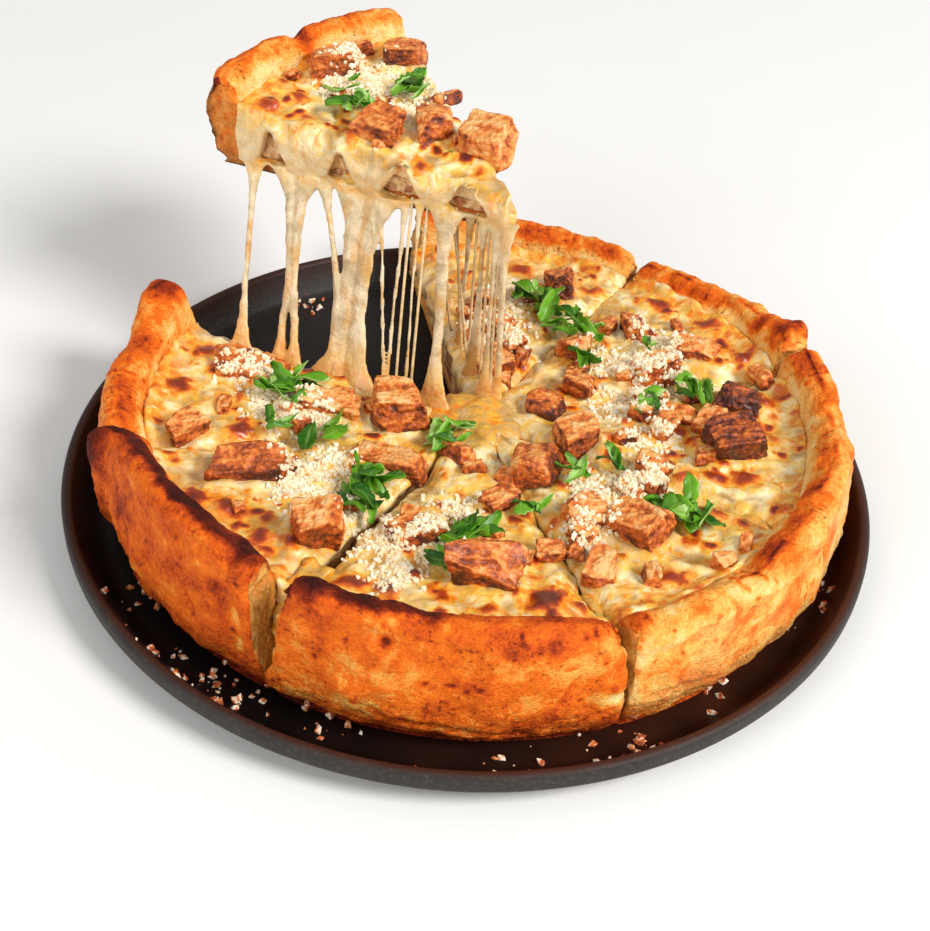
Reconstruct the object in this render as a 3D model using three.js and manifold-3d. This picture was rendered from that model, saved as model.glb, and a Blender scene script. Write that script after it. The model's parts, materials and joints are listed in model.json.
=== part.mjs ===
// A deep dish pizza in its round steel pan: seven slices stand in the pan, and an eighth is being
// lifted out of its place, still joined to the others by strings of melted cheese.
// Millimetres, +Z up. The origin is the centre of the pan's flat underside.
import * as THREE from "three";
import { mergeVertices } from "three/addons/utils/BufferGeometryUtils.js";
import Module from "manifold-3d";

const wasm = await Module();
wasm.setup();

// ---- Driving dimensions ----

const GAP = 0.3; // clearance between pieces that touch

// The pan: radius and height of its rim, the height of the rim's upright band, the bead on it,
// the radius of the flat base and the thickness of the floor.
const PAN = { rim: 140, top: 15.5, band: 6, bead: 2, base: 129, floor: 3.5, sides: 52 };

// The pie stands in the pan a little towards the back. Heights count from its own underside.
const PIE = {
  x: 1.6,
  y: 6.5,
  foot: 119, // radius at the pan's floor
  bulge: 129, // widest radius of the crust
  bulgeHeight: 17,
  crest: 123.5, // radius of the crust's top
  wall: 11, // thickness of the upright crust
  under: 4.8, // thickness of the bottom crust
  cheese: 5.5, // thickness of the cheese
  level: 27, // height of the cheese at the centre
  rimLevel: 29.7, // height of the cheese at the crust, half way round
  rimTilt: 6.5, // how much higher that is at the front, and lower at the back
  tip: 4.2, // radius at which a slice's point ends
};

const CUT = { centre: 1.2, rim: 4.4 }; // width of a cut at the centre and at the crust

// A slice runs from one cut to the next, in degrees from +X. crest is the height of its crust at
// the first cut, in the middle and at the last cut. Each fold of the crust has its place from 0
// to 1 along the slice, its half width there, how far it stands out and how far it rises.
const SLICES = {
  a: {
    from: -162,
    to: -118.5,
    crest: [44, 53, 51],
    folds: [
      { at: 0.02, width: 0.07, out: 5, up: 2 },
      { at: 0.9, width: 0.08, out: -1.5, up: -2.5 },
    ],
  },
  b: {
    from: -116,
    to: -67.5,
    crest: [49, 50, 44],
    folds: [
      { at: 0.08, width: 0.08, out: 0.5, up: 2 },
      { at: 0.42, width: 0.1, out: 0.5, up: -1.5 },
      { at: 0.75, width: 0.12, out: 0.8, up: 1 },
    ],
  },
  c: {
    from: -67.5,
    to: -28,
    crest: [43, 42, 47],
    folds: [
      { at: 0.3, width: 0.14, out: -1, up: 1.5 },
      { at: 0.62, width: 0.06, out: 1.2, up: -2.5 },
      { at: 0.92, width: 0.08, out: 2, up: 2 },
    ],
  },
  d: {
    from: -28,
    to: 18,
    crest: [44, 42, 42],
    folds: [
      { at: 0.3, width: 0.1, out: 1, up: 1.5 },
      { at: 0.6, width: 0.12, out: -0.8, up: -1.5 },
    ],
  },
  e: {
    from: 18,
    to: 60,
    crest: [41, 32, 28],
    folds: [
      { at: 0.1, width: 0.07, out: 2.5, up: 3 },
      { at: 0.45, width: 0.12, out: 0.8, up: 1 },
    ],
  },
  f: {
    from: 60,
    to: 105,
    crest: [28, 33, 37],
    folds: [
      { at: 0.15, width: 0.1, out: 0.8, up: 1 },
      { at: 0.5, width: 0.14, out: -0.6, up: -1 },
    ],
  },
  g: {
    from: 158,
    to: 198,
    crest: [44, 41, 39],
    folds: [
      { at: 0.1, width: 0.13, out: 1.5, up: 3.5 },
      { at: 0.38, width: 0.1, out: -1.2, up: -2.5 },
      { at: 0.8, width: 0.15, out: 1, up: 1 },
    ],
  },
};

// The slice in the air is a touch shorter, lower and thinner towards its point.
const LIFTED = {
  from: 109,
  to: 153,
  scale: 0.955,
  crest: [35, 36.5, 34],
  folds: [{ at: 0.52, width: 0.05, out: -1, up: -3 }],
  tipLevel: 14.5,
  rimLevel: 26,
  position: [9.9, 30, 89.5],
  turn: [-1, -3.7, 3.4],
};

// The cheese hangs over the near side of the slice in the air. A window is a place along that
// side where it ends higher: its distance from the point, its half width and its rise.
const SKIRT = {
  out: 3.4,
  bottom: 2.2,
  windows: [
    { at: 17, width: 6, rise: 7 },
    { at: 42, width: 5, rise: 8 },
    { at: 66, width: 4, rise: 5 },
    { at: 94, width: 4, rise: 6 },
  ],
};

// Strings of cheese. from is the distance from the point of the lifted slice, along its near
// side; to is the foot on the pie, as a radius and a direction; widths run from top to foot.
const STRINGS = [
  { from: 102, to: [92, 161.5], widths: [7, 2.6, 2, 3, 9], thick: 2.2 },
  { from: 86, to: [76, 162], widths: [11, 5.5, 4.6, 2.6, 2.6], thick: 2.4, drift: -1.6 },
  { from: 82, to: [71.5, 162.5], widths: [11, 4.6, 3.4, 2.4, 3.4], thick: 2.2, drift: 1.2 },
  { from: 74, to: [60, 164], widths: [6, 2, 2.2, 4, 6], thick: 2, drift: 1.5 },
  { from: 56, to: [50, 164.5], widths: [19, 14.5, 11, 10.5, 17], thick: 3 },
  { from: 50, to: [34.5, 166.5], widths: [3, 1.5, 1.3, 1.3, 1.5], thick: 1.3 },
  { from: 40.5, to: [34, 165], widths: [3, 1.5, 1.3, 1.3, 1.5], thick: 1.3 },
  { from: 35, to: [27, 165], widths: [3, 1.4, 1.2, 1.2, 1.4], thick: 1.2 },
  { from: 28, to: [67.5, 102], widths: [7, 4, 3.2, 2.8, 3.4], thick: 2 },
  { from: 25, to: [16, 167], widths: [10, 5, 4, 4, 9], thick: 2.8 },
  { from: 15.5, to: [45, 101], widths: [3, 2, 1.8, 1.8, 2.4], thick: 1.5 },
  { from: 10.5, to: [23, 96], widths: [3, 2.2, 2, 3.6, 6.5], thick: 2 },
  { from: 6, to: [12.5, 80], widths: [3.4, 2.4, 2, 2.2, 4.5], thick: 1.8 },
  { from: 2.5, to: [12.5, 58], widths: [5, 3.4, 2.4, 2.2, 3], thick: 2 },
];

// Chicken in cubes and torn lumps: radius and direction on the slice, length, width and height,
// and the turn about the vertical.
const CHICKEN = {
  a: [
    { at: [86, -149], size: [25, 13, 11], turn: 12 },
    { at: [87, -123], size: [15, 14, 17], turn: 10 },
    { at: [42, -131], size: [22, 11, 8], turn: -20 },
  ],
  b: [
    { at: [87, -86], size: [23, 15, 15], turn: -5 },
    { at: [72, -104], size: [17, 12, 10], turn: 20 },
    { at: [50, -79], size: [12, 9, 9], turn: 30 },
  ],
  c: [
    { at: [81, -49], size: [18, 14, 13], turn: -35 },
    { at: [67, -57], size: [14, 12, 12], turn: 25 },
    { at: [90, -63], size: [15, 9, 9], turn: 70 },
  ],
  d: [
    { at: [89, -9], size: [19, 15, 14], turn: 15 },
    { at: [92, 7], size: [15, 12, 11], turn: -10 },
    { at: [37, -20], size: [19, 15, 14], turn: 25 },
  ],
  e: [
    { at: [89, 29.5], size: [19, 10, 9], turn: -8 },
    { at: [69, 25], size: [15, 13, 11], turn: 30 },
  ],
  f: [
    { at: [86, 70], size: [10, 13, 14], turn: 10 },
    { at: [26, 78], size: [13, 11, 11], turn: 20 },
  ],
  g: [
    { at: [84, 170.5], size: [21, 14, 9], turn: -10 },
    { at: [52, 184], size: [21, 12, 10], turn: -4 },
    { at: [28, 192], size: [17, 14, 14], turn: 8 },
    { at: [100, 194.5], size: [13, 10, 10], turn: 45 },
  ],
  lifted: [
    { at: [99, 129.5], size: [19, 15, 13], turn: 20 },
    { at: [94, 113.5], size: [14, 12, 11], turn: -15 },
    { at: [57, 143], size: [16, 13, 13], turn: -25 },
    { at: [47, 124], size: [12, 12, 13], turn: 10 },
    { at: [28, 109], size: [17, 14, 15], turn: -30 },
  ],
};

const CHUNK_SINK = 3.5; // how far a chunk is pressed into the cheese

// Basil leaves and torn strips: radius and direction, length and width, turn, curl upwards.
const BASIL = {
  a: { at: [61, -126], size: [24, 11], turn: 35, curl: 3 },
  b: { at: [70, -88], size: [22, 9], turn: 40, curl: 2.5 },
  c: { at: [84, -34], size: [22, 10], turn: -30, curl: 2.5 },
  d: { at: [78, 18.3], size: [16, 8], turn: 60, curl: 3 },
  e: { at: [62, 60], size: [20, 9], turn: 25, curl: 2.5 },
  f: { at: [70, 74], size: [22, 10], turn: -35, curl: 3 },
  g: { at: [66, 177], size: [20, 12], turn: 50, curl: 3 },
  centre: { at: [16, -118], size: [18, 8], turn: -35, curl: 2 },
};
const LIFTED_BASIL = {
  lifted_long: { at: [76, 137], size: [17, 4.5], turn: 50, curl: 2 },
  lifted_short: { at: [74, 121], size: [15, 8], turn: -50, curl: 2.5 },
};

// Grated cheese lies in drifts: the middle of each, its radius and how many grains it has.
const GRAIN = { size: 2.5, seed: 7 };
const DRIFTS = {
  a: [
    { at: [68, -139], spread: 15, count: 6 },
    { at: [58, -137], spread: 9, count: 2 },
  ],
  b: [
    { at: [66, -98], spread: 12, count: 5 },
    { at: [94, -104], spread: 8, count: 3 },
  ],
  c: [
    { at: [60, -41], spread: 14, count: 6 },
    { at: [90, -45], spread: 8, count: 2 },
  ],
  d: [
    { at: [62, 10], spread: 13, count: 6 },
    { at: [60, -12], spread: 8, count: 2 },
  ],
  e: [{ at: [76, 40], spread: 17, count: 8 }],
  f: [{ at: [62, 84], spread: 16, count: 8 }],
  g: [
    { at: [80, 180], spread: 13, count: 5 },
    { at: [64, 187], spread: 10, count: 3 },
  ],
  lifted: [{ at: [78, 127], spread: 18, count: 10 }],
};

// ---- Materials ----

const finish = (color, roughness, metalness = 0) =>
  new THREE.MeshStandardMaterial({ color, roughness, metalness });
const STEEL = finish(0x2b2827, 0.45, 0.6);
const CRUST = finish(0xc98a4b, 0.7);
const FILLING = finish(0xd9b48a, 0.6);
const CHEESE = finish(0xf0d9a0, 0.35);
const MEAT = finish(0xa9623a, 0.55);
const LEAF = finish(0x3f7a2c, 0.5);

// ---- Numbers and noise ----

const rad = (degrees) => (degrees * Math.PI) / 180;
const lerp = (a, b, t) => a + (b - a) * t;
const clamp01 = (t) => Math.min(1, Math.max(0, t));
const polar = (radius, angle) => [radius * Math.cos(angle), radius * Math.sin(angle)];
const bell = (x, middle, width) => Math.exp(-(((x - middle) / width) ** 2));

// Even numbers from 0 to 1 from a seed.
function draws(seed) {
  let state = seed * 2654435761;
  return () => {
    state = (Math.imul(state ^ (state >>> 15), 2246822519) + 3266489917) >>> 0;
    return ((state ^ (state >>> 13)) >>> 0) / 4294967296;
  };
}

// Low bumps of melted cheese, about 1 high, over the plane.
const ripple = (x, y) =>
  0.5 * Math.sin(x * 0.19 + 1.3) * Math.cos(y * 0.16 - 0.4) +
  0.35 * Math.sin(x * 0.09 - y * 0.23 + 2.1) +
  0.15 * Math.sin(x * 0.41 + y * 0.33);

// ---- Solids ----

// A closed body from its corners and faces, turned outwards whichever way the faces were listed.
function closedBody(corners, faces) {
  let volume = 0;
  for (const [a, b, c] of faces) {
    const [p, q, r] = [corners[a], corners[b], corners[c]];
    volume += p[0] * (q[1] * r[2] - q[2] * r[1]);
    volume += p[1] * (q[2] * r[0] - q[0] * r[2]);
    volume += p[2] * (q[0] * r[1] - q[1] * r[0]);
  }
  const index = faces.flatMap(([a, b, c]) => (volume < 0 ? [a, c, b] : [a, b, c]));
  const geometry = new THREE.BufferGeometry();
  geometry.setAttribute("position", new THREE.Float32BufferAttribute(corners.flat(), 3));
  geometry.setIndex(index);
  return solidOf(geometry);
}

function solidOf(geometry) {
  const bare = geometry.clone();
  bare.deleteAttribute("normal");
  bare.deleteAttribute("uv");
  const merged = mergeVertices(bare, 1e-4);
  const vertProperties = merged.attributes.position.array;
  const triVerts = new Uint32Array(merged.index.array);
  return new wasm.Manifold(new wasm.Mesh({ numProp: 3, vertProperties, triVerts }));
}

function geometryOf(solid) {
  const { vertProperties, triVerts } = solid.getMesh();
  const geometry = new THREE.BufferGeometry();
  geometry.setAttribute("position", new THREE.Float32BufferAttribute(vertProperties, 3));
  geometry.setIndex(new THREE.BufferAttribute(new Uint32Array(triVerts), 1));
  return geometry;
}

const moved = (solid, matrix) => solidOf(geometryOf(solid).applyMatrix4(matrix));

// The largest piece of what a cut leaves.
const largest = (solid) =>
  solid.decompose().reduce((best, piece) => (piece.volume() > best.volume() ? piece : best));

// A solid with clearance round it, as copies of it shifted each way.
const SHIFTS = [
  [0, 0, GAP],
  [0, 0, -GAP],
  [GAP, 0, 0],
  [-GAP, 0, 0],
  [0, GAP, 0],
  [0, -GAP, 0],
];
const cleared = new Map();
function withClearance(solid) {
  if (!cleared.has(solid)) {
    const copies = SHIFTS.map((shift) => solid.translate(shift));
    cleared.set(solid, wasm.Manifold.union(copies));
  }
  return cleared.get(solid);
}

function boxesMeet(one, other) {
  const [p, q] = [one.boundingBox(), other.boundingBox()];
  return [0, 1, 2].every((k) => p.min[k] < q.max[k] + 1 && q.min[k] < p.max[k] + 1);
}

// What is left of a piece that keeps its clearance from each of the others.
const cutClear = (piece, others) =>
  others
    .filter((other) => boxesMeet(piece, other))
    .reduce((rest, other) => rest.subtract(withClearance(other)), piece);

const touches = (piece, others) =>
  others.some(
    (other) => boxesMeet(piece, other) && withClearance(other).intersect(piece).volume() > 0,
  );

// Two grids of the same size, an upper and a lower skin, closed along their borders.
function slab(columns, rows, upper, lower) {
  const corners = [];
  for (const skin of [upper, lower])
    for (let i = 0; i < columns; i++) for (let j = 0; j < rows; j++) corners.push(skin(i, j));
  const faces = [];
  const quad = (a, b, c, d) => faces.push([a, b, c], [a, c, d]);
  const up = (i, j) => i * rows + j;
  const down = (i, j) => columns * rows + i * rows + j;
  for (let i = 0; i + 1 < columns; i++)
    for (let j = 0; j + 1 < rows; j++) {
      quad(up(i, j), up(i + 1, j), up(i + 1, j + 1), up(i, j + 1));
      quad(down(i, j), down(i, j + 1), down(i + 1, j + 1), down(i + 1, j));
    }
  for (let i = 0; i + 1 < columns; i++) {
    quad(down(i, 0), down(i + 1, 0), up(i + 1, 0), up(i, 0));
    quad(up(i, rows - 1), up(i + 1, rows - 1), down(i + 1, rows - 1), down(i, rows - 1));
  }
  for (let j = 0; j + 1 < rows; j++) {
    quad(up(0, j), up(0, j + 1), down(0, j + 1), down(0, j));
    quad(down(columns - 1, j), down(columns - 1, j + 1), up(columns - 1, j + 1), up(columns - 1, j));
  }
  return closedBody(corners, faces);
}

// Rings of equally many points joined into a body. cap is the flat outline of a ring.
function loft(rings, cap) {
  const points = rings[0].length;
  const faces = [];
  for (let i = 0; i + 1 < rings.length; i++)
    for (let k = 0; k < points; k++) {
      const next = (k + 1) % points;
      const [a, b] = [i * points + k, i * points + next];
      faces.push([a, b, b + points], [a, b + points, a + points]);
    }
  const end = (rings.length - 1) * points;
  const outline = cap.map(([x, y]) => new THREE.Vector2(x, y));
  const area = THREE.ShapeUtils.area(outline);
  for (const [a, b, c] of THREE.ShapeUtils.triangulateShape(outline, [])) {
    const [p, q, r] = area > 0 ? [a, b, c] : [a, c, b];
    faces.push(area > 0 ? [p, r, q] : [p, q, r]);
    faces.push(area > 0 ? [end + p, end + q, end + r] : [end + p, end + r, end + q]);
  }
  return closedBody(rings.flat(), faces);
}

// ---- The pan ----

// A shallow dark steel pan with a flared wall and a thick rounded rim.
function pan() {
  const { rim, top, band, bead, base, floor, sides } = PAN;
  const profile = [
    [0, 0],
    [base - 2, 0],
    [base + 1, 0.8],
    [rim - 1.6, top - bead - band],
    [rim, top - bead - band + 2],
  ];
  for (const turn of [0, 45, 90, 135, 175]) {
    const [dr, dz] = polar(bead, rad(turn));
    profile.push([rim - bead + dr, top - bead + dz]);
  }
  profile.push([base + 1.5, floor + 1.5], [base - 1.5, floor], [0, floor]);
  const outline = profile.map(([r, z]) => new THREE.Vector2(r, z));
  const geometry = new THREE.LatheGeometry(outline, sides);
  geometry.rotateX(Math.PI / 2);
  return solidOf(geometry);
}

// ---- The slices ----

const scaleOf = (slice) => slice.scale || 1;
const cutWidth = (r) => lerp(CUT.centre, CUT.rim, clamp01(r / PIE.crest));

// The direction at a share u of the way across a slice, at radius r from the centre.
function direction(slice, u, r) {
  const inset = Math.asin(Math.min(0.9, cutWidth(r) / (2 * r)));
  return lerp(rad(slice.from) + inset, rad(slice.to) - inset, u);
}

function across(slice, u, r, z) {
  return [...polar(r, direction(slice, u, r)), z];
}

// How much a slice's edge is rounded off, from 1 on the cut to 0 a little way in.
const edgeRound = (u) => (1 - clamp01(Math.min(u, 1 - u) / 0.06)) ** 2;

function crestHeight(slice, u) {
  const [first, middle, last] = slice.crest;
  const bow = middle - (first + last) / 2;
  const folds = slice.folds.reduce((sum, f) => sum + f.up * bell(u, f.at, f.width), 0);
  return lerp(first, last, u) + 4 * bow * u * (1 - u) + folds - 1.5 * edgeRound(u);
}

const crestOut = (slice, u) =>
  slice.folds.reduce((sum, f) => sum + f.out * bell(u, f.at, f.width), 0);

// Height of the cheese's top at radius r, a share u across the slice.
function cheeseTop(slice, u, r) {
  const angle = direction(slice, u, Math.max(r, PIE.tip));
  const inner = innerRadius(slice);
  const share = Math.min(1, r / inner);
  const [x, y] = polar(r, angle);
  if (slice.tipLevel) {
    const height = lerp(slice.tipLevel, slice.rimLevel, share ** 1.5);
    return height + 0.7 * ripple(x, y) - 1.2 * edgeRound(u);
  }
  const rimLevel = PIE.rimLevel - PIE.rimTilt * Math.sin(angle);
  const height = lerp(PIE.level, rimLevel, share ** 2);
  return height + 0.8 * ripple(x, y) - 1.6 * edgeRound(u) - 0.8 * bell(r, 0, 12);
}

const innerRadius = (slice) => (PIE.crest - PIE.wall) * scaleOf(slice);

// The crust's section: up the outside, over the crest, down to the bottom crust and along it.
function crustSection(slice, u) {
  const scale = scaleOf(slice);
  const crest = crestHeight(slice, u);
  const out = crestOut(slice, u) - 0.8 * edgeRound(u);
  const inner = innerRadius(slice);
  const level = cheeseTop(slice, u, inner);
  const swell = 0.8 * Math.sin(u * 17 + slice.from) + 0.5 * Math.sin(u * 31 + slice.to);
  const foot = PIE.foot * scale;
  const bulge = PIE.bulge * scale + swell * 0.6 + out * 0.4;
  const top = PIE.crest * scale + out;
  return [
    [foot, 0],
    [foot + 3.5, 2],
    [bulge - 2, PIE.bulgeHeight * 0.45],
    [bulge, PIE.bulgeHeight],
    [bulge - 0.6, lerp(PIE.bulgeHeight, crest, 0.45)],
    [top + 3.2, crest - 5],
    [top + 1.4, crest - 1.2],
    [top - 2, crest],
    [top - 5.2, crest - 1],
    [top - 8, crest - 3.4],
    [inner + 1.2, Math.max(level + 1, crest - 9)],
    [inner, level - 1.5],
    [inner, PIE.under + 2.5],
    [inner - 2.5, PIE.under],
    [PIE.tip, PIE.under],
    [PIE.tip, 0],
  ];
}

const SLICE_STATIONS = [0, 0.04, 0.12, 0.24, 0.36, 0.48, 0.6, 0.72, 0.84, 0.95, 1];

function crust(slice) {
  const sections = SLICE_STATIONS.map((u) => crustSection(slice, u));
  const rings = sections.map((section, i) =>
    section.map(([r, z]) => across(slice, SLICE_STATIONS[i], r, z)),
  );
  return loft(rings, sections[0]);
}

// The filling runs from the point to the crust, between the bottom crust and the cheese.
function filling(slice) {
  const shares = [0, 0.33, 0.67, 1];
  const radii = [PIE.tip + 0.4, 22, 45, 68, 90, innerRadius(slice) - 0.7];
  const lump = (i, j) => (i === 0 || i === shares.length - 1 ? 0.5 * Math.sin(j * 2.3 + i) : 0);
  const side = (i, j) => lerp(0.006, 0.994, shares[i]) + lump(i, j) * 0.006;
  const upper = (i, j) => {
    const top = cheeseTop(slice, shares[i], radii[j]) - PIE.cheese - 1.2;
    return across(slice, side(i, j), radii[j], top);
  };
  const lower = (i, j) => {
    const corner = j === radii.length - 1 ? 2.6 : 0;
    return across(slice, side(i, j), radii[j], PIE.under + GAP + corner);
  };
  return slab(shares.length, radii.length, upper, lower);
}

const CHEESE_SHARES = [0, 0.06, 0.22, 0.41, 0.59, 0.78, 0.94, 1];
const cheeseRadii = (slice) => {
  const inner = innerRadius(slice) - 0.5;
  return [PIE.tip, 16, 31, 47, 63, 79, 95, inner];
};

function cheese(slice) {
  const radii = cheeseRadii(slice);
  const skin = (drop) => (i, j) => {
    const u = CHEESE_SHARES[i];
    const z = cheeseTop(slice, u, radii[j]) - drop * (1 - 0.3 * edgeRound(u));
    return across(slice, u, radii[j], z);
  };
  return slab(CHEESE_SHARES.length, radii.length, skin(0), skin(PIE.cheese));
}

// ---- The cheese of the lifted slice, with its skirt over the near side ----

const skirtBottom = (r) =>
  SKIRT.windows.reduce((z, w) => z + w.rise * bell(r, w.at, w.width), SKIRT.bottom);

// A point beside the near cut, at a distance along it, a distance out from it and a height.
function besideCut(along, out, z) {
  const angle = rad(LIFTED.to);
  const inset = cutWidth(along) / 2;
  const side = out - inset;
  return [
    along * Math.cos(angle) - side * Math.sin(angle),
    along * Math.sin(angle) + side * Math.cos(angle),
    z,
  ];
}

function drapedCheese() {
  const hang = [0.2, 0.6, 1];
  const radii = [PIE.tip, 10, 17, 24, 33, 42, 51, 60, 68, 78, 90, 101, innerRadius(LIFTED) - 0.5];
  const top = (u, r) => cheeseTop(LIFTED, u, r) + 1.2 * edgeRound(u) * (u > 0.5 ? 1 : 0);
  const columns = CHEESE_SHARES.length + hang.length;
  const outer = (i, j) => {
    const r = radii[j];
    if (i < CHEESE_SHARES.length) return across(LIFTED, CHEESE_SHARES[i], r, top(CHEESE_SHARES[i], r));
    const share = hang[i - CHEESE_SHARES.length];
    const out = 0.5 + SKIRT.out * Math.sin((Math.PI / 2) * Math.min(1, share * 1.7));
    return besideCut(r, out, lerp(top(1, r) - 0.3, skirtBottom(r), share));
  };
  const inner = (i, j) => {
    const r = radii[j];
    const under = (u) => cheeseTop(LIFTED, u, r) - PIE.cheese;
    if (i < CHEESE_SHARES.length - 1) return across(LIFTED, CHEESE_SHARES[i], r, under(CHEESE_SHARES[i]));
    const share = i < CHEESE_SHARES.length ? 0 : hang[i - CHEESE_SHARES.length];
    return besideCut(r, GAP + 0.15, lerp(under(1), skirtBottom(r) - 0.4 * share, share));
  };
  return slab(columns, radii.length, outer, inner);
}

// One string in the pie's own frame: rings of six points, from inside the skirt of the lifted
// slice down to the cheese that it hangs on.
function cheeseString(string, liftedToPie) {
  const start = new THREE.Vector3(...besideCut(string.from, 2, 5.5)).applyMatrix4(liftedToPie);
  const [radius, degrees] = string.to;
  const slice = degrees > 130 ? SLICES.g : SLICES.f;
  const footHeight = cheeseTop(slice, shareOf(slice, degrees), radius) - 1.5;
  const foot = new THREE.Vector3(...polar(radius, rad(degrees)), footHeight);
  const wide = new THREE.Vector3(...polar(1, rad(LIFTED.to)), 0);
  const deep = new THREE.Vector3(-wide.y, wide.x, 0);
  const sides = [0, 60, 120, 180, 240, 300].map(rad);
  const stations = [0, 0.14, 0.38, 0.66, 0.87, 1];
  const drift = string.drift || 0;
  const rings = stations.map((t) => {
    const middle = start.clone().lerp(foot, t).addScaledVector(wide, -drift * Math.sin(Math.PI * t));
    const step = Math.min(3.999, 4 * t ** 0.8);
    const from = Math.floor(step);
    const width = lerp(string.widths[from], string.widths[from + 1], step - from) / 2;
    const flare = t > 0.85 ? 1.5 : 1;
    return sides.map((a) => {
      const point = middle.clone().addScaledVector(wide, width * Math.cos(a));
      point.addScaledVector(deep, (string.thick / 2) * flare * Math.sin(a));
      return point.toArray();
    });
  });
  return loft(rings, sides.map((a) => [Math.cos(a), Math.sin(a)]));
}

// ---- Toppings ----

// A torn cube of meat: a box with pushed-in corners and uneven faces.
function chunk(size, seed) {
  const random = draws(seed);
  const box = new THREE.BoxGeometry(1, 1, 1, 2, 2, 2);
  box.deleteAttribute("normal");
  box.deleteAttribute("uv");
  const geometry = mergeVertices(box, 1e-4);
  const position = geometry.attributes.position;
  for (let i = 0; i < position.count; i++) {
    const corner = new THREE.Vector3().fromBufferAttribute(position, i);
    const round = 1 - 0.16 * Math.max(0, corner.length() - 0.5);
    const uneven = 1 + 0.2 * (random() - 0.5);
    corner.multiplyScalar(round * uneven * 1.05);
    corner.multiply(new THREE.Vector3(...size));
    position.setXYZ(i, corner.x, corner.y, corner.z);
  }
  return solidOf(geometry);
}

// A leaf: a thin wavy skin, pointed at both ends and curled up along its middle.
function leaf([length, width], curl) {
  const shares = [0, 0.5, 1];
  const along = [0, 0.17, 0.36, 0.56, 0.77, 1];
  const thickness = 0.8;
  const skin = (drop) => (i, j) => {
    const t = along[j];
    const half = (width / 2) * (0.12 + 0.88 * Math.sin(Math.PI * Math.min(1, t * 0.9 + 0.06)));
    const s = shares[i] * 2 - 1;
    const z = curl * s * s * Math.sin(Math.PI * t) + 0.9 * Math.sin(t * 7 + s * 1.5) - drop;
    return [(t - 0.5) * length, s * half, z];
  };
  return slab(shares.length, along.length, skin(0), skin(thickness));
}

// A matrix that turns a piece about the vertical and sets it at a radius, direction and height.
function placed([radius, degrees], height, turn, tilt = 0) {
  const position = new THREE.Vector3(...polar(radius, rad(degrees)), height);
  const angles = new THREE.Euler(rad(tilt), rad(tilt / 2), rad(turn));
  const rotation = new THREE.Quaternion().setFromEuler(angles);
  return new THREE.Matrix4().compose(position, rotation, new THREE.Vector3(1, 1, 1));
}

const shareOf = (slice, degrees) => clamp01((degrees - slice.from) / (slice.to - slice.from));

// Chunks sink a little into the cheese, and end just short of it and of the chunks before them.
function chunksOn(slice, list, others, seed) {
  return list.map((piece, i) => {
    const [radius, degrees] = piece.at;
    const surface = cheeseTop(slice, shareOf(slice, degrees), radius);
    const height = surface + piece.size[2] / 2 - CHUNK_SINK;
    const tilt = ((seed + i) % 3) * 7 - 7;
    const body = moved(chunk(piece.size, seed * 10 + i), placed(piece.at, height, piece.turn, tilt));
    const fitted = largest(cutClear(body, others));
    others.push(fitted);
    return fitted;
  });
}

// Grains of grated cheese, fused to the cheese, clear of the chunks.
function withGrains(base, slice, drifts, chunks, seed) {
  const random = draws(GRAIN.seed + seed);
  let result = base;
  for (const drift of drifts)
    for (let made = 0, tries = 0; made < drift.count && tries < 60; tries++) {
      const angle = random() * 2 * Math.PI;
      const reach = drift.spread * Math.sqrt(random());
      const [radius, degrees] = drift.at;
      const [dx, dy] = polar(reach, angle);
      const [mx, my] = polar(radius, rad(degrees));
      const [x, y] = [mx + dx, my + dy];
      const middle = (slice.from + slice.to) / 2;
      const bearing = (Math.atan2(y, x) * 180) / Math.PI;
      const near = bearing + 360 * Math.round((middle - bearing) / 360);
      const share = (near - slice.from) / (slice.to - slice.from);
      const r = Math.hypot(x, y);
      if (share < 0.12 || share > 0.88 || r > innerRadius(slice) - 5) continue;
      const size = GRAIN.size * lerp(0.8, 1.2, random());
      const grain = new THREE.OctahedronGeometry(size / 2, 0);
      grain.rotateX(random() * 3);
      grain.rotateZ(random() * 3);
      grain.translate(x, y, cheeseTop(slice, share, r) + size * 0.12);
      const solid = solidOf(grain);
      if (touches(solid, chunks)) continue;
      result = result.add(solid);
      made++;
    }
  return largest(result);
}

// A piece let down on what lies below it: it is lifted in small steps until it is clear.
function settled(solid, below) {
  let piece = solid;
  for (let i = 0; i < 60 && touches(piece, below); i++) piece = piece.translate([0, 0, 0.4]);
  return piece;
}

// ---- Assembly ----

const pizza = new THREE.Group();

function add(parent, name, solid, material) {
  const mesh = new THREE.Mesh(geometryOf(solid), material);
  mesh.name = name;
  parent.add(mesh);
}

add(pizza, "pan", pan(), STEEL);

const pie = new THREE.Group();
pie.position.set(PIE.x, PIE.y, PAN.floor + GAP);
const lifted = new THREE.Group();
lifted.position.set(...LIFTED.position);
lifted.rotation.set(...LIFTED.turn.map(rad));
pizza.add(pie, lifted);
pizza.updateMatrixWorld(true);

const slices = Object.entries(SLICES).map(([letter, slice], i) => {
  return { letter, slice, seed: i + 1, shell: crust(slice), bare: cheese(slice) };
});
const others = slices.flatMap(({ shell, bare }) => [shell, bare]);
for (const made of slices)
  made.chunks = chunksOn(made.slice, CHICKEN[made.letter], others, made.seed);
const allChunks = slices.flatMap(({ chunks }) => chunks);

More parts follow.
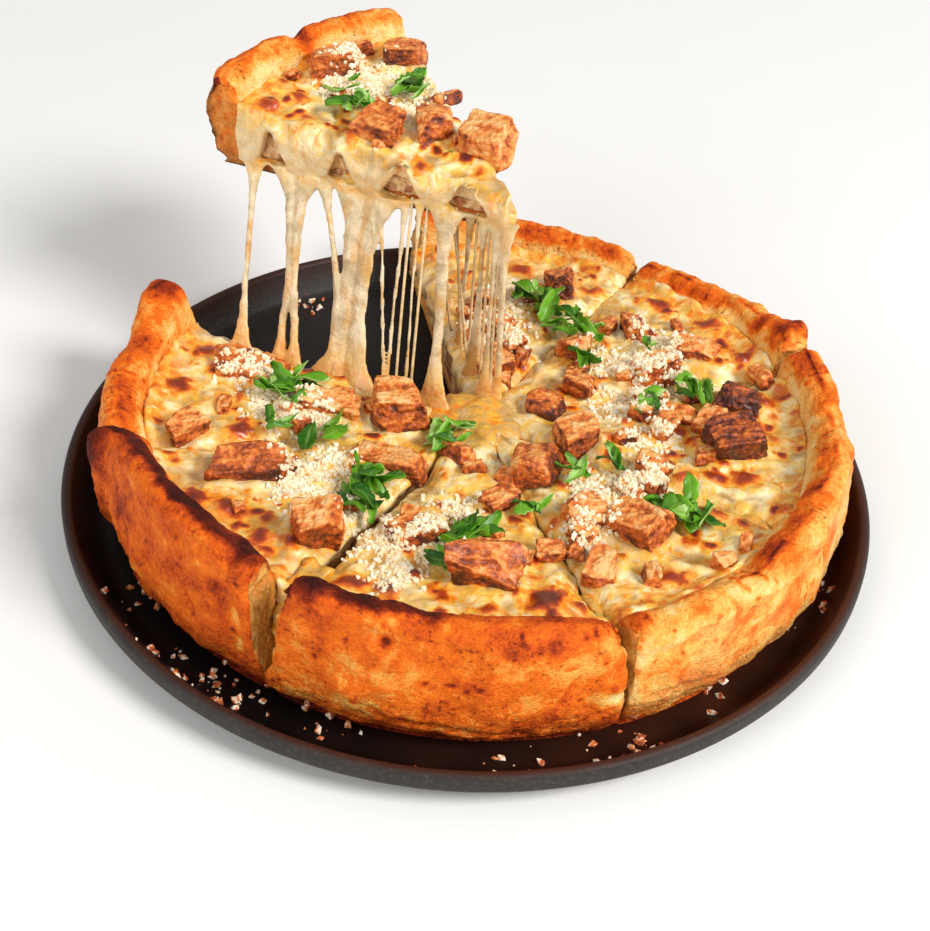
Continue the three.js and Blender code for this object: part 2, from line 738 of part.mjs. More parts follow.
const onPie = [];
for (const { letter, slice, seed, shell, bare, chunks } of slices) {
  const top = withGrains(bare, slice, DRIFTS[letter], allChunks, seed);
  add(pie, `crust_${letter}`, shell, CRUST);
  add(pie, `filling_${letter}`, filling(slice), FILLING);
  add(pie, `cheese_${letter}`, top, CHEESE);
  chunks.forEach((piece, k) => add(pie, `chicken_${letter}${k + 1}`, piece, MEAT));
  onPie.push(shell, top, ...chunks);
}
for (const [name, { at, size, turn, curl }] of Object.entries(BASIL)) {
  const start = moved(leaf(size, curl), placed(at, PIE.level - 2, turn));
  add(pie, `basil_${name}`, settled(start, onPie), LEAF);
}

// The lifted slice, with the strings hanging from its cheese to the pie.
const liftedCrust = crust(LIFTED);
const liftedFilling = filling(LIFTED);
const liftedBare = drapedCheese();
const liftedChunks = chunksOn(LIFTED, CHICKEN.lifted, [liftedBare, liftedCrust], 9);
const grated = withGrains(liftedBare, LIFTED, DRIFTS.lifted, liftedChunks, 9);

const pieToLifted = lifted.matrixWorld.clone().invert().multiply(pie.matrixWorld);
const liftedToPie = pieToLifted.clone().invert();
const strings = STRINGS.map((string) => {
  const hung = largest(cutClear(cheeseString(string, liftedToPie), onPie));
  return cutClear(moved(hung, pieToLifted), [liftedCrust, liftedFilling]);
});
const liftedCheese = largest(wasm.Manifold.union([grated, ...strings.map(largest)]));

add(lifted, "crust_lifted", liftedCrust, CRUST);
add(lifted, "filling_lifted", liftedFilling, FILLING);
add(lifted, "cheese_lifted", liftedCheese, CHEESE);
liftedChunks.forEach((piece, k) => add(lifted, `chicken_lifted${k + 1}`, piece, MEAT));
for (const [name, { at, size, turn, curl }] of Object.entries(LIFTED_BASIL)) {
  const start = moved(leaf(size, curl), placed(at, LIFTED.tipLevel, turn));
  add(lifted, `basil_${name}`, settled(start, [liftedCheese, ...liftedChunks]), LEAF);
}

export default pizza;
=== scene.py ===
"""A deep dish pizza in its steel pan, dressed round its CAD model: baked crusts, melted cheese
with blisters, roast chicken, basil, grated cheese and the strings under the lifted slice."""

import json
import math

import bmesh
import bpy
import numpy as np
from mathutils import Matrix, Vector

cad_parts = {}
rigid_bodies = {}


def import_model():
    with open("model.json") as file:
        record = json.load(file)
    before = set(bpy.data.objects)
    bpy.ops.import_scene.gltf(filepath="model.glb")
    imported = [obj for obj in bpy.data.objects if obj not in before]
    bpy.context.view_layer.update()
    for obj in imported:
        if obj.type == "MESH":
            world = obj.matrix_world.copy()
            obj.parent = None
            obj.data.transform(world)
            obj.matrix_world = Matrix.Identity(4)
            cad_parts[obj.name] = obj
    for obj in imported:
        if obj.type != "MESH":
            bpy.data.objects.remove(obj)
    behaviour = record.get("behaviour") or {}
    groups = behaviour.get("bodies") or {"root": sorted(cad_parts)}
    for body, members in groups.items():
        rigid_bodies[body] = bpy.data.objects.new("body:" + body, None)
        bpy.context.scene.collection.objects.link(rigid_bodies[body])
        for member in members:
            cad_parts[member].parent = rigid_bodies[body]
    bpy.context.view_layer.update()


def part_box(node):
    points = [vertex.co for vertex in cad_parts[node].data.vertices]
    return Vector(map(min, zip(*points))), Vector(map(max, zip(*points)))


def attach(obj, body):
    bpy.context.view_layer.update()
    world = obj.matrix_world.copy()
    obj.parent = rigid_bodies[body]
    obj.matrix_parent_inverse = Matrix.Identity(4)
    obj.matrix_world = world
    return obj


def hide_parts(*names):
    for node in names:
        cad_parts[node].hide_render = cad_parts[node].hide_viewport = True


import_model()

bl_info = {
    "name": "Deep dish pizza", "version": (1, 0, 0), "blender": (4, 5, 0),
    "location": "View3D > Sidebar > Pizza",
    "description": "Makes a deep dish pizza in its pan, with one slice lifted on strings of cheese",
    "category": "Add Mesh",
}

MM = 0.001
WELD = 1e-6
BODY = "root"

# ---- Sizes in millimetres, the same as in the part's source ----

PAN = {"rim": 140.0, "top": 15.5, "band": 6.0, "bead": 2.0, "base": 129.0, "floor": 3.5}
PIE_AT = np.array([1.6, 6.5, 3.8])
PIE = {
    "foot": 119.0, "bulge": 129.0, "bulge_height": 17.0, "crest": 123.5, "wall": 11.0, "under": 4.8,
    "cheese": 5.5, "level": 27.0, "rim_level": 29.7, "rim_tilt": 6.5, "tip": 4.2,
}
CUT_CENTRE, CUT_RIM = 1.2, 4.4

# A slice runs from one cut to the next, in degrees. A fold of its crust has its place from 0 to 1
# along the slice, its half width there, how far it stands out and how far it rises.
SLICES = {
    "a": (-162, -118.5, (44, 53, 51), [(0.02, 0.07, 5, 2), (0.9, 0.08, -1.5, -2.5)]),
    "b": (
        -116, -67.5, (49, 50, 44),
        [(0.08, 0.08, 0.5, 2), (0.42, 0.1, 0.5, -1.5), (0.75, 0.12, 0.8, 1)],
    ),
    "c": (
        -67.5, -28, (43, 42, 47),
        [(0.3, 0.14, -1, 1.5), (0.62, 0.06, 1.2, -2.5), (0.92, 0.08, 2, 2)],
    ),
    "d": (-28, 18, (44, 42, 42), [(0.3, 0.1, 1, 1.5), (0.6, 0.12, -0.8, -1.5)]),
    "e": (18, 60, (41, 32, 28), [(0.1, 0.07, 2.5, 3), (0.45, 0.12, 0.8, 1)]),
    "f": (60, 105, (28, 33, 37), [(0.15, 0.1, 0.8, 1), (0.5, 0.14, -0.6, -1)]),
    "g": (
        158, 198, (44, 41, 39), [(0.1, 0.13, 1.5, 3.5), (0.38, 0.1, -1.2, -2.5), (0.8, 0.15, 1, 1)],
    ),
    "lifted": (109, 153, (34.6, 36.0, 33.4), [(0.52, 0.05, -1, -3)]),
}
LIFTED = {
    "scale": 0.955, "tip_level": 14.5, "rim_level": 26.0, "at": (9.9, 30.0, 89.5),
    "turn": (-1.0, -3.7, 3.4),
}
SKIRT_OUT, SKIRT_BOTTOM = 3.4, 4.4
SKIRT_WINDOWS = [(17, 6, 12), (42, 5.5, 14), (66, 4.5, 12), (94, 4.5, 14)]

# A string: its distance from the point along the lifted slice's near side, its foot on the pie
# as a radius and a direction, its widths from top to foot, its thickness, its sideways drift, and
# for one that parts in two, the place, the half length and the width of the opening.
STRINGS = [
    (102, (92, 161.5), (6.5, 2.4, 1.8, 2.4, 6.5), 2.2, 0),
    (84, (73.5, 162), (14, 7, 5.2, 5.6, 8), 2.4, 0, (0.83, 0.13, 3.6)),
    (74, (55, 164.2), (6, 2, 2.4, 4, 5), 2, 4.0),
    (56, (50, 164.5), (19, 14, 10.5, 11, 17), 3, 0, (0.8, 0.045, 1.8)),
    (50, (34.5, 166.5), (3, 1.5, 1.3, 1.3, 1.5), 1.3, 0),
    (40.5, (34, 165), (3, 1.5, 1.3, 1.3, 1.5), 1.3, 0),
    (35, (27, 165), (3, 1.4, 1.2, 1.2, 1.4), 1.2, 0),
    (28, (67.5, 102), (7, 4, 3.2, 2.8, 3.4), 2, 0), (25, (16, 167), (10, 5, 4, 4, 9), 2.8, 0),
    (15.5, (45, 101), (3, 2, 1.8, 1.8, 2.4), 1.5, 0), (10.5, (23, 96), (3, 2.2, 2, 3.6, 6.5), 2, 0),
    (6, (12.5, 80), (3.4, 2.4, 2, 2.2, 4.5), 1.8, 0),
    (2.5, (12.5, 58), (5, 3.4, 2.4, 2.2, 3), 2, 0),
]
# Threads too fine for the CAD model: start along the side, foot, thickness.
THREADS = [
    (38, (30.5, 165), 0.55), (32, (25, 165), 0.5), (30, (52, 103), 0.6), (21, (42, 100), 0.6),
    (13, (34, 98), 0.7), (8.5, (19, 90), 0.6), (4, (12, 70), 0.7), (61, (52, 163.5), 0.6),
    (23, (30, 99), 0.55),
]

# Roast chicken: radius and direction on the slice, length, width and height, and turn.
CHICKEN = {
    "a": [(86, -149, 25, 13, 11, 12), (87, -123, 15, 14, 17, 10), (42, -131, 22, 11, 8, -20)],
    "b": [(87, -86, 20, 15, 15, -5), (72, -104, 17, 12, 10, 20), (50, -79, 12, 9, 9, 30)],
    "c": [(81, -49, 18, 14, 13, -35), (67, -57, 14, 12, 12, 25), (90, -63, 15, 9, 9, 70)],
    "d": [(89, -9, 19, 15, 14, 15), (92, 7, 15, 12, 11, -10), (36, -20, 15, 13, 12, 25)],
    "e": [(89, 29.5, 19, 10, 9, -8), (69, 25, 15, 13, 11, 30)],
    "f": [(86, 70, 10, 13, 14, 10), (26, 78, 13, 11, 11, 20)],
    "g": [
        (84, 170.5, 21, 14, 9, -10), (52, 184, 21, 12, 10, -4), (28, 192, 17, 14, 14, 8),
        (100, 194.5, 13, 10, 10, 45),
    ],
    "lifted": [
        (99, 129.5, 19, 15, 12, 20), (94, 113.5, 14, 12, 11, -15), (57, 143, 16, 13, 13, -25),
        (47, 124, 12, 12, 13, 10), (28, 109, 17, 14, 15, -30),
    ],
}
CHUNK_SINK = 3.5
# Pieces that are roasted darker, or less, than the rest.
ROAST = {"a1": 0.3, "d1": 0.6, "d2": 0.5, "f1": 0.1, "f2": 0.1, "b1": 0.08, "lifted5": -0.26}
# Smaller scraps of chicken: radius, direction, size, and for some how much darker they are.
SCRAPS = {
    "a": [(65, -125, 8), (40.9, -139, 6), (73, -146, 6), (97, -139, 5), (79, -124, 9)],
    "b": [
        (25, -104, 12), (31, -90, 8), (36.6, -72, 8), (60, -92, 7), (79, -77, 7), (77, -71, 9),
        (63, -108, 7), (66, -84, 6),
    ],
    "c": [
        (109, -44, 8), (108, -37, 7), (68, -31, 10), (64, -36, 9), (37, -52, 9), (100, -56, 8),
        (73, -61, 9), (58, -50, 7), (37, -57, 17, 0.05), (78, -65, 8, 0.2),
    ],
    "d": [
        (65, -3, 13), (63, 14, 11), (106, 16, 9), (79, 12, 8), (71, 3, 12), (52, -12, 7),
        (80, 0, 12), (57, 3, 9), (81, -14, 9), (66, -25, 12, 0.1), (24, 14, 13, 0.35),
    ],
    "e": [
        (80, 45, 12), (52, 49, 13), (39, 26, 11), (45, 38, 8), (60, 27, 9), (96, 40, 6),
        (76, 27, 9), (74, 50, 8),
    ],
    "f": [
        (52, 87, 13), (44, 76, 11), (37, 66, 10), (60, 95, 7), (24, 68, 8), (70, 90, 10),
        (80, 76, 9), (48, 96, 8), (33, 84, 9),
    ],
    "g": [(76, 167.8, 11), (48, 178, 9), (61, 193, 8), (87, 186, 7), (64, 184, 10), (36, 186, 7)],
    "lifted": [
        (84, 136, 7), (66, 110, 10), (38, 118, 6), (70, 130, 6), (104, 138, 6), (104, 121, 8),
        (106, 131, 7), (53, 147, 7),
    ],
}

# Clusters of leaves: radius, direction, size, and the slice of those not named after theirs.
BASIL = {
    "a": (61, -124, 23), "b": (69, -89, 22), "c": (86, -37, 23), "d": (79, 12, 17),
    "e": (64, 56.5, 20), "f": (71, 74, 22), "g": (65, 176, 23), "centre": (19, -119, 18),
    "lifted_long": (76, 137, 19), "lifted_short": (72, 119, 17),
}
BASIL_ON = {"centre": "b", "lifted_long": "lifted", "lifted_short": "lifted"}
# Loose bits of leaf: slice, radius, direction, length.
LEAF_BITS = [
    ("g", 56, -161.7 + 360, 15), ("g", 70, 196, 12), ("a", 66, -119.5, 12), ("a", 53, -131, 9),
    ("a", 82, -121, 12), ("c", 80, -42, 12), ("b", 84, -97, 12), ("b", 57, -69, 11),
    ("c", 47, -49.4, 14), ("c", 51, -31, 12), ("d", 58.8, 7.9, 14), ("d", 37, -17, 9),
    ("e", 54, 42, 17), ("e", 74, 33, 11), ("f", 62, 65, 14), ("f", 76, 80, 9),
    ("lifted", 29, 134.8, 4), ("lifted", 88, 131, 7),
]

# Browned blisters on the cheese: radius, direction, size, darkness.
BLISTERS = {
    "a": [(106, -145, 4.5, 0.7), (99, -140, 6, 0.7), (100, -130, 5, 0.6), (92, -134, 3, 0.5)],
    "b": [
        (100, -110, 4.5, 0.7), (99, -104, 4, 0.8), (97, -94, 3.5, 0.6), (99, -76, 6.5, 1.0),
        (103, -86, 3, 0.5),
    ],
    "c": [(103, -53, 5, 0.6), (92, -32, 5, 0.5), (102, -31, 4, 0.7), (95, -42, 3, 0.4)],
    "d": [(95, -18, 5, 0.6), (98, -1, 4, 0.5), (104, 8, 4, 0.5), (76, -22, 4, 0.4)],
    "e": [
        (104, 49, 5, 0.7), (107, 37, 5, 0.6), (104, 30, 4.5, 0.8), (107, 24, 4, 0.7),
        (96, 36, 3, 0.5),
    ],
    "f": [(95, 64, 4.5, 0.5), (99, 82, 5, 0.5), (92, 95, 4, 0.4)],
    "g": [
        (102, 166, 5, 0.7), (105, 179, 5.5, 0.7), (88, 184, 4, 0.6), (82, 194, 5, 0.7),
        (62, 161.5, 6.5, 1.0), (52, 163, 3.5, 0.7), (95, 172, 3, 0.5),
    ],
    "lifted": [
        (98, 150, 4.5, 0.5), (94, 142.7, 4, 0.5), (36, 149, 3.2, 0.6), (104, 119.7, 4.5, 0.5),
        (102, 111.5, 4, 0.5), (84, 148, 3, 0.4), (64, 150, 3, 0.5), (18, 130, 2.6, 0.4),
    ],
}
SMALL_BLISTERS = 56

# Drifts of grated cheese: radius, direction, spread, how thick it lies.
DRIFTS = {
    "a": [(64, -141.8, 9, 1.0), (75, -137, 8, 0.9), (57, -144, 7, 0.7), (72, -121, 8, 0.6)],
    "b": [(74, -98, 8, 1.0), (91, -104, 7, 0.9), (80, -110, 7, 0.7), (57, -95, 9, 0.6)],
    "c": [(60, -43, 10, 1.0), (73, -60, 8, 0.5), (67, -33, 8, 0.7)],
    "d": [(61, -9.8, 8, 0.6), (59, 14, 9, 0.9), (48, 10, 7, 0.6)],
    "e": [(70, 24, 9, 1.0), (66, 33, 9, 1.0), (80, 36, 9, 0.8), (57, 40, 7, 0.6)],
    "f": [(80, 83, 8, 0.9), (56, 82, 9, 1.0), (50, 92, 8, 0.7), (42, 78, 8, 0.5)],
    "g": [(82, 172.6, 8, 1.0), (66, 186, 9, 1.0), (72, 178, 8, 0.8), (58, 192, 7, 0.6)],
    "lifted": [
        (84, 125, 10, 1.0), (92, 126, 8, 1.0), (66, 126, 8, 0.9), (87, 133, 8, 0.9),
        (75, 118, 8, 0.8),
    ],
}
# Crumbs on the pan: x, y, spread, thickness of the strewing.
CRUMB_SPOTS = [
    (-100, -68, 7, 1.0), (-73, -102, 8, 0.9), (-60, -105, 9, 0.4), (-37, -113, 8, 0.35),
    (42, -117, 7, 1.0), (55, -113, 7, 0.9), (82, -94, 6, 0.6), (105, -54, 5, 0.5),
    (117, -45, 9, 0.5), (-70, 103, 7, 0.8), (-66, 96, 6, 0.5), (-92, -88, 14, 0.22),
    (-14, -124, 16, 0.2), (24, -124, 14, 0.2),
]


# ---- Numbers and noise ----


def lerp(a, b, t):
    return a + (b - a) * t


def clamp01(t):
    return np.clip(t, 0.0, 1.0)


def bell(x, middle, width):
    return np.exp(-(((x - middle) / width) ** 2))


def smooth_step(low, high, x):
    t = clamp01((x - low) / (high - low))
    return t * t * (3 - 2 * t)


def polar(radius, degrees):
    """The x and y of a place at a radius and a direction."""
    at = math.radians(degrees)
    return radius * math.cos(at), radius * math.sin(at)


def turned(x, y, angle):
    """The x and y of a place after a turn by an angle in radians about the middle."""
    cos, sin = math.cos(angle), math.sin(angle)
    return x * cos - y * sin, x * sin + y * cos


def ripple(x, y):
    """Low bumps of melted cheese, about 1 high, over the plane."""
    return (
        0.5 * np.sin(x * 0.19 + 1.3) * np.cos(y * 0.16 - 0.4)
        + 0.35 * np.sin(x * 0.09 - y * 0.23 + 2.1)
        + 0.15 * np.sin(x * 0.41 + y * 0.33)
    )


SLOPES = np.array(
    [(x, y, 0) for x in (-1, 1) for y in (-1, 1)]
    + [(x, 0, z) for x in (-1, 1) for z in (-1, 1)]
    + [(0, y, z) for y in (-1, 1) for z in (-1, 1)]
    + [(1, 1, 0), (-1, 1, 0), (0, -1, 1), (0, -1, -1)],
    float,
)


def corner_slopes(cell, seed):
    """A slope for each corner of a lattice, always the same for the same seed."""
    mix = cell[:, 0] * 374761393 + cell[:, 1] * 668265263 + cell[:, 2] * 1440662683
    mix = (mix + seed * 974634777) & 0xFFFFFFFF
    mix = ((mix ^ (mix >> 13)) * 1274126177) & 0xFFFFFFFF
    mix = ((mix ^ (mix >> 15)) * 2246822519) & 0xFFFFFFFF
    return SLOPES[(mix ^ (mix >> 16)) & 15]


def noise(points, size, seed):
    """Smooth noise from about -1 to 1 with features of a size, one or three numbers."""
    scaled = points / np.asarray(size, float) + 0.37
    cell = np.floor(scaled).astype(np.int64)
    part = scaled - cell
    ease = part * part * part * (part * (part * 6 - 15) + 10)
    total = 0
    for corner in np.ndindex(2, 2, 2):
        weight = np.prod(np.where(corner, ease, 1 - ease), 1)
        slope = corner_slopes(cell + corner, seed)
        total = total + weight * ((part - corner) * slope).sum(1)
    return total * 1.4


def layered(points, size, seed):
    """Noise of three sizes, each half of the last."""
    total, strength, size = 0, 1.0, np.asarray(size, float)
    for k in range(3):
        total = total + strength * noise(points, size, seed + k)
        strength, size = strength * 0.5, size * 0.5
    return total / 1.6


def turn_matrix(degrees):
    """Turns about X, then Y, then Z, in the order of the CAD source."""
    x, y, z = (Matrix.Rotation(math.radians(d), 3, axis) for d, axis in zip(degrees, "XYZ"))
    return np.array(x @ y @ z)


LIFTED_TURN = turn_matrix(LIFTED["turn"])


class Slice:
    """A slice's surfaces in its own frame, in millimetres."""

    def __init__(self, letter):
        self.letter = letter
        self.start, self.end, self.crest, self.folds = SLICES[letter]
        self.lifted = letter == "lifted"
        self.scale = LIFTED["scale"] if self.lifted else 1.0
        self.inner = (PIE["crest"] - PIE["wall"]) * self.scale

    def world(self, points):
        if self.lifted:
            return points @ LIFTED_TURN.T + np.array(LIFTED["at"])
        return points + PIE_AT

    def local(self, points):
        if self.lifted:
            return (points - np.array(LIFTED["at"])) @ LIFTED_TURN
        return points - PIE_AT

    def direction(self, u, r):
        width = lerp(CUT_CENTRE, CUT_RIM, clamp01(r / PIE["crest"]))
        inset = np.arcsin(np.minimum(0.9, width / (2 * r)))
        return lerp(math.radians(self.start) + inset, math.radians(self.end) - inset, u)

    def across(self, u, r, z):
        angle = self.direction(u, r)
        return np.stack(np.broadcast_arrays(r * np.cos(angle), r * np.sin(angle), z), -1)

    def beside(self, r, out, z, last):
        """A point beside a cut, at a distance out from the cut face."""
        inset = lerp(CUT_CENTRE, CUT_RIM, clamp01(r / PIE["crest"])) / 2
        angle = math.radians(self.end if last else self.start)
        x, y = turned(r, (out - inset) * (1 if last else -1), angle)
        return np.stack(np.broadcast_arrays(x, y, z), -1)

    def edge_round(self, u):
        return (1 - clamp01(np.minimum(u, 1 - u) / 0.06)) ** 2

    def crest_height(self, u):
        first, middle, last = self.crest
        rise = sum(up * bell(u, at, width) for at, width, out, up in self.folds)
        bow = middle - (first + last) / 2
        return lerp(first, last, u) + 4 * bow * u * (1 - u) + rise - 1.5 * self.edge_round(u)

    def crest_out(self, u):
        return sum(out * bell(u, at, width) for at, width, out, up in self.folds)

    def cheese_top(self, u, r):
        angle = self.direction(u, np.maximum(r, PIE["tip"]))
        share = np.minimum(1, r / self.inner)
        x, y = r * np.cos(angle), r * np.sin(angle)
        if self.lifted:
            height = lerp(LIFTED["tip_level"], LIFTED["rim_level"], share**1.5)
            return height + 0.7 * ripple(x, y) - 1.2 * self.edge_round(u)
        rim = PIE["rim_level"] - PIE["rim_tilt"] * np.sin(angle)
        height = lerp(PIE["level"], rim, share**2) + 0.8 * ripple(x, y)
        return height - 1.6 * self.edge_round(u) - 0.8 * bell(r, 0, 12)

    def share_of(self, degrees):
        return clamp01((degrees - self.start) / (self.end - self.start))

    def surface(self, radius, degrees):
        """Height of the cheese below a topping."""
        return self.cheese_top(self.share_of(degrees), radius)

    def spot(self, radius, degrees, above=0):
        """A place on the pizza, a height above the cheese of this slice."""
        point = (*polar(radius, degrees), self.surface(radius, degrees) + above)
        return self.world(np.array([point]))[0]


ALL = {letter: Slice(letter) for letter in SLICES}
STANDING = [s for s in ALL.values() if not s.lifted]


# ---- Meshes ----


def box_skin(a, b, c):
    """The skin of a box of a by b by c cells: its corners as whole numbers, and its quads."""
    sizes = (a, b, c)
    quads = []
    for axis in range(3):
        j, k = (axis + 1) % 3, (axis + 2) % 3
        along, up = np.meshgrid(np.arange(sizes[j]), np.arange(sizes[k]), indexing="ij")
        for side in (0, sizes[axis]):
            ring = []
            for dj, dk in ((0, 0), (1, 0), (1, 1), (0, 1)):
                cell = np.zeros((along.size, 3), np.int64)
                cell[:, axis] = side
                cell[:, j] = along.ravel() + dj
                cell[:, k] = up.ravel() + dk
                ring.append((cell[:, 0] * (b + 1) + cell[:, 1]) * (c + 1) + cell[:, 2])
            quads.append(np.stack(ring if side else ring[::-1], 1))
    used, index = np.unique(np.concatenate(quads), return_inverse=True)
    cells = np.stack([used // ((b + 1) * (c + 1)), used // (c + 1) % (b + 1), used % (c + 1)], 1)
    return cells, index.reshape(-1, 4)


def outwards(points, quads):
    """The quads, turned over if the body would be inside out."""
    p = points[quads] - points.mean(0)
    volume = np.einsum("ij,ij->", p[:, 0], np.cross(p[:, 1], p[:, 2]))
    volume += np.einsum("ij,ij->", p[:, 0], np.cross(p[:, 2], p[:, 3]))
    return quads if volume > 0 else quads[:, ::-1]


def normals_of(points, quads):
    """Smooth normals of a mesh of quads."""
    p = points[quads]
    face = np.cross(p[:, 2] - p[:, 0], p[:, 3] - p[:, 1])
    total = np.zeros_like(points)
    for k in range(4):
        np.add.at(total, quads[:, k], face)
    return total / np.maximum(np.linalg.norm(total, axis=1), 1e-12)[:, None]


def joined(parts):
    """Several (points, quads) as one."""
    points, quads, base = [], [], 0
    for p, q in parts:
        points.append(p)
        quads.append(q + base)
        base += len(p)
    return np.concatenate(points), np.concatenate(quads)


def write_marks(mesh, marks):
    """Keeps a number or a vector for each corner, under each mark's name."""
    for mark, values in marks.items():
        values = np.asarray(values, np.float32)
        kind, field = ("FLOAT", "value") if values.ndim == 1 else ("FLOAT_VECTOR", "vector")
        mesh.attributes.new(mark, kind, "POINT").data.foreach_set(field, values.ravel())


def mesh_object(name, points, quads, marks=None):
    """A smooth mesh from millimetres, with a number at each corner for each mark."""
    mesh = bpy.data.meshes.new(name)
    mesh.from_pydata((points * MM).tolist(), [], quads.tolist())
    mesh.validate()
    mesh.shade_smooth()
    write_marks(mesh, marks or {})
    made = bpy.data.objects.new(name, mesh)
    bpy.context.scene.collection.objects.link(made)
    return made


def settle(piece, material, nodes=()):
    """Gives a piece its finish and its body, and hides the CAD nodes that it stands for."""
    piece.data.materials.clear()
    piece.data.materials.append(material)
    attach(piece, BODY)
    if nodes:
        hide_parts(*nodes)


def make_plain(piece):
    """Applies a piece's modifiers, and leaves it a plain mesh without them."""
    graph = bpy.context.evaluated_depsgraph_get()
    mesh = bpy.data.meshes.new_from_object(piece.evaluated_get(graph))
    piece.modifiers.clear()
    piece.data = mesh


def read(items, field, width=1, kind=np.float32):
    """A field of a mesh's vertices, loops or faces, as an array with a row for each."""
    values = np.zeros(len(items) * width, kind)
    items.foreach_get(field, values)
    return values.reshape(-1, width) if width > 1 else values


# ---- Materials ----


def srgb(red, green, blue):
    """A colour as light, from the usual 0 to 255."""
    parts = (c / 255 for c in (red, green, blue))
    return tuple(p / 12.92 if p <= 0.04045 else ((p + 0.055) / 1.055) ** 2.4 for p in parts)


class Value:
    """A number, colour or shape on its way through a node tree, for sums on it."""

    def __init__(self, nodes, socket):
        self.nodes, self.socket = nodes, socket

    def maths(self, operation, *values, clamp=False):
        settings = {"operation": operation, "use_clamp": clamp}
        return self.nodes.node("ShaderNodeMath", settings, dict(enumerate(values)))

    def __add__(self, other):
        return self.maths("ADD", self, other)

    def __sub__(self, other):
        return self.maths("SUBTRACT", self, other)

    def __rsub__(self, other):
        return self.maths("SUBTRACT", other, self)

    def __mul__(self, other):
        return self.maths("MULTIPLY", self, other)

    def __rtruediv__(self, other):
        return self.maths("DIVIDE", other, self)

    __radd__, __rmul__ = __add__, __mul__

    def clipped(self):
        return self.maths("ADD", self, 0, clamp=True)

    def above(self, low, high):
        """Rises from 0 to 1 between low and high."""
        return self.maths("MULTIPLY", self - low, 1 / (high - low), clamp=True)


class Nodes:
    """A node tree that is being built."""

    def node(self, kind, settings=None, values=None, output=0):
        """A new node with its settings, and its sockets set to numbers or joined to values."""
        made = self.tree.nodes.new(kind)
        for key, value in (settings or {}).items():
            setattr(made, key, value)
        for key, value in (values or {}).items():
            self.feed(made.inputs[key], value)
        return Value(self, made.outputs[output])

    def feed(self, socket, value):
        if isinstance(value, Value):
            self.tree.links.new(value.socket, socket)
        elif socket.type == "RGBA" and len(value) == 3:
            socket.default_value = (*value, 1)
        else:
            socket.default_value = value

    def vector(self, operation, *values, **scale):
        values = dict(enumerate(values)) | scale
        return self.node("ShaderNodeVectorMath", {"operation": operation}, values)


class Finish(Nodes):
    """A material that is being built round one surface shader."""

    def __init__(self, name, **constants):
        self.material = bpy.data.materials.new(name)
        self.material.use_nodes = True
        self.tree = self.material.node_tree
        self.tree.nodes.clear()
        self.shader = self.tree.nodes.new("ShaderNodeBsdfPrincipled")
        output = self.tree.nodes.new("ShaderNodeOutputMaterial")
        self.tree.links.new(self.shader.outputs[0], output.inputs["Surface"])
        for socket, value in constants.items():
            name = socket.replace("_", " ").title().replace("Ior", "IOR")
            self.shader.inputs[name].default_value = value

    def mark(self, name, output="Fac"):
        """The number, or the vector, that a mesh carries at each corner."""
        return self.node("ShaderNodeAttribute", {"attribute_name": name}, output=output)

    def place(self, stretch=(1, 1, 1)):
        where = self.node("ShaderNodeTexCoord", output="Object")
        return self.node("ShaderNodeMapping", {}, {"Vector": where, "Scale": stretch})

    def noise_at(self, where, scale, detail, output=0, **more):
        """Noise from 0 to 1 at a place, with features of 1 / scale metres."""
        values = {"Vector": where, "Scale": scale, "Detail": detail} | more
        return self.node("ShaderNodeTexNoise", {}, values, output)

    def noise(self, size, detail, rough, stretch=(1, 1, 1), warp=0.0):
        """Noise from 0 to 1 with features of a size in millimetres."""
        where, scale = self.place(stretch), 1 / (size * MM)
        return self.noise_at(where, scale, detail, Roughness=rough, Distortion=warp)

    def cells(self, size, feature="F1", warp=0.0):
        """Distance inside cells of a size in millimetres, their walls bent by a warp."""
        where = self.place()
        if warp:
            bend = self.noise_at(where, 0.6 / (size * MM), 2.0, "Color")
            bend = self.vector("SUBTRACT", bend, (0.5, 0.5, 0.5))
            where = self.vector("ADD", where, self.vector("SCALE", bend, Scale=warp * size * MM))
        values = {"Vector": where, "Scale": 1 / (size * MM)}
        return self.node("ShaderNodeTexVoronoi", {"feature": feature}, values, "Distance")

    def ramp(self, value, stops):
        """Colours in steps of (place, colour), picked by a value."""
        made = self.node("ShaderNodeValToRGB", {}, {"Fac": value})
        steps = made.socket.node.color_ramp.elements
        while len(steps) < len(stops):
            steps.new(1.0)
        for step, (place, colour) in zip(steps, stops):
            step.position, step.color = place, (*colour, 1)
        return made

    def mix(self, share, first, second):
        return self.node("ShaderNodeMix", {"data_type": "RGBA"}, {0: share, 6: first, 7: second}, 2)

    def bump(self, height, depth, strength):
        """Relief of a depth in millimetres."""
        values = {"Height": height, "Distance": depth * MM, "Strength": strength}
        self.feed(self.shader.inputs["Normal"], self.node("ShaderNodeBump", {}, values))

    def done(self, colour, roughness):
        self.feed(self.shader.inputs["Base Color"], colour)
        self.feed(self.shader.inputs["Roughness"], roughness)
        return self.material


def material(name, build):
    """A material by name, built once."""
    return bpy.data.materials.get(name) or build(name)


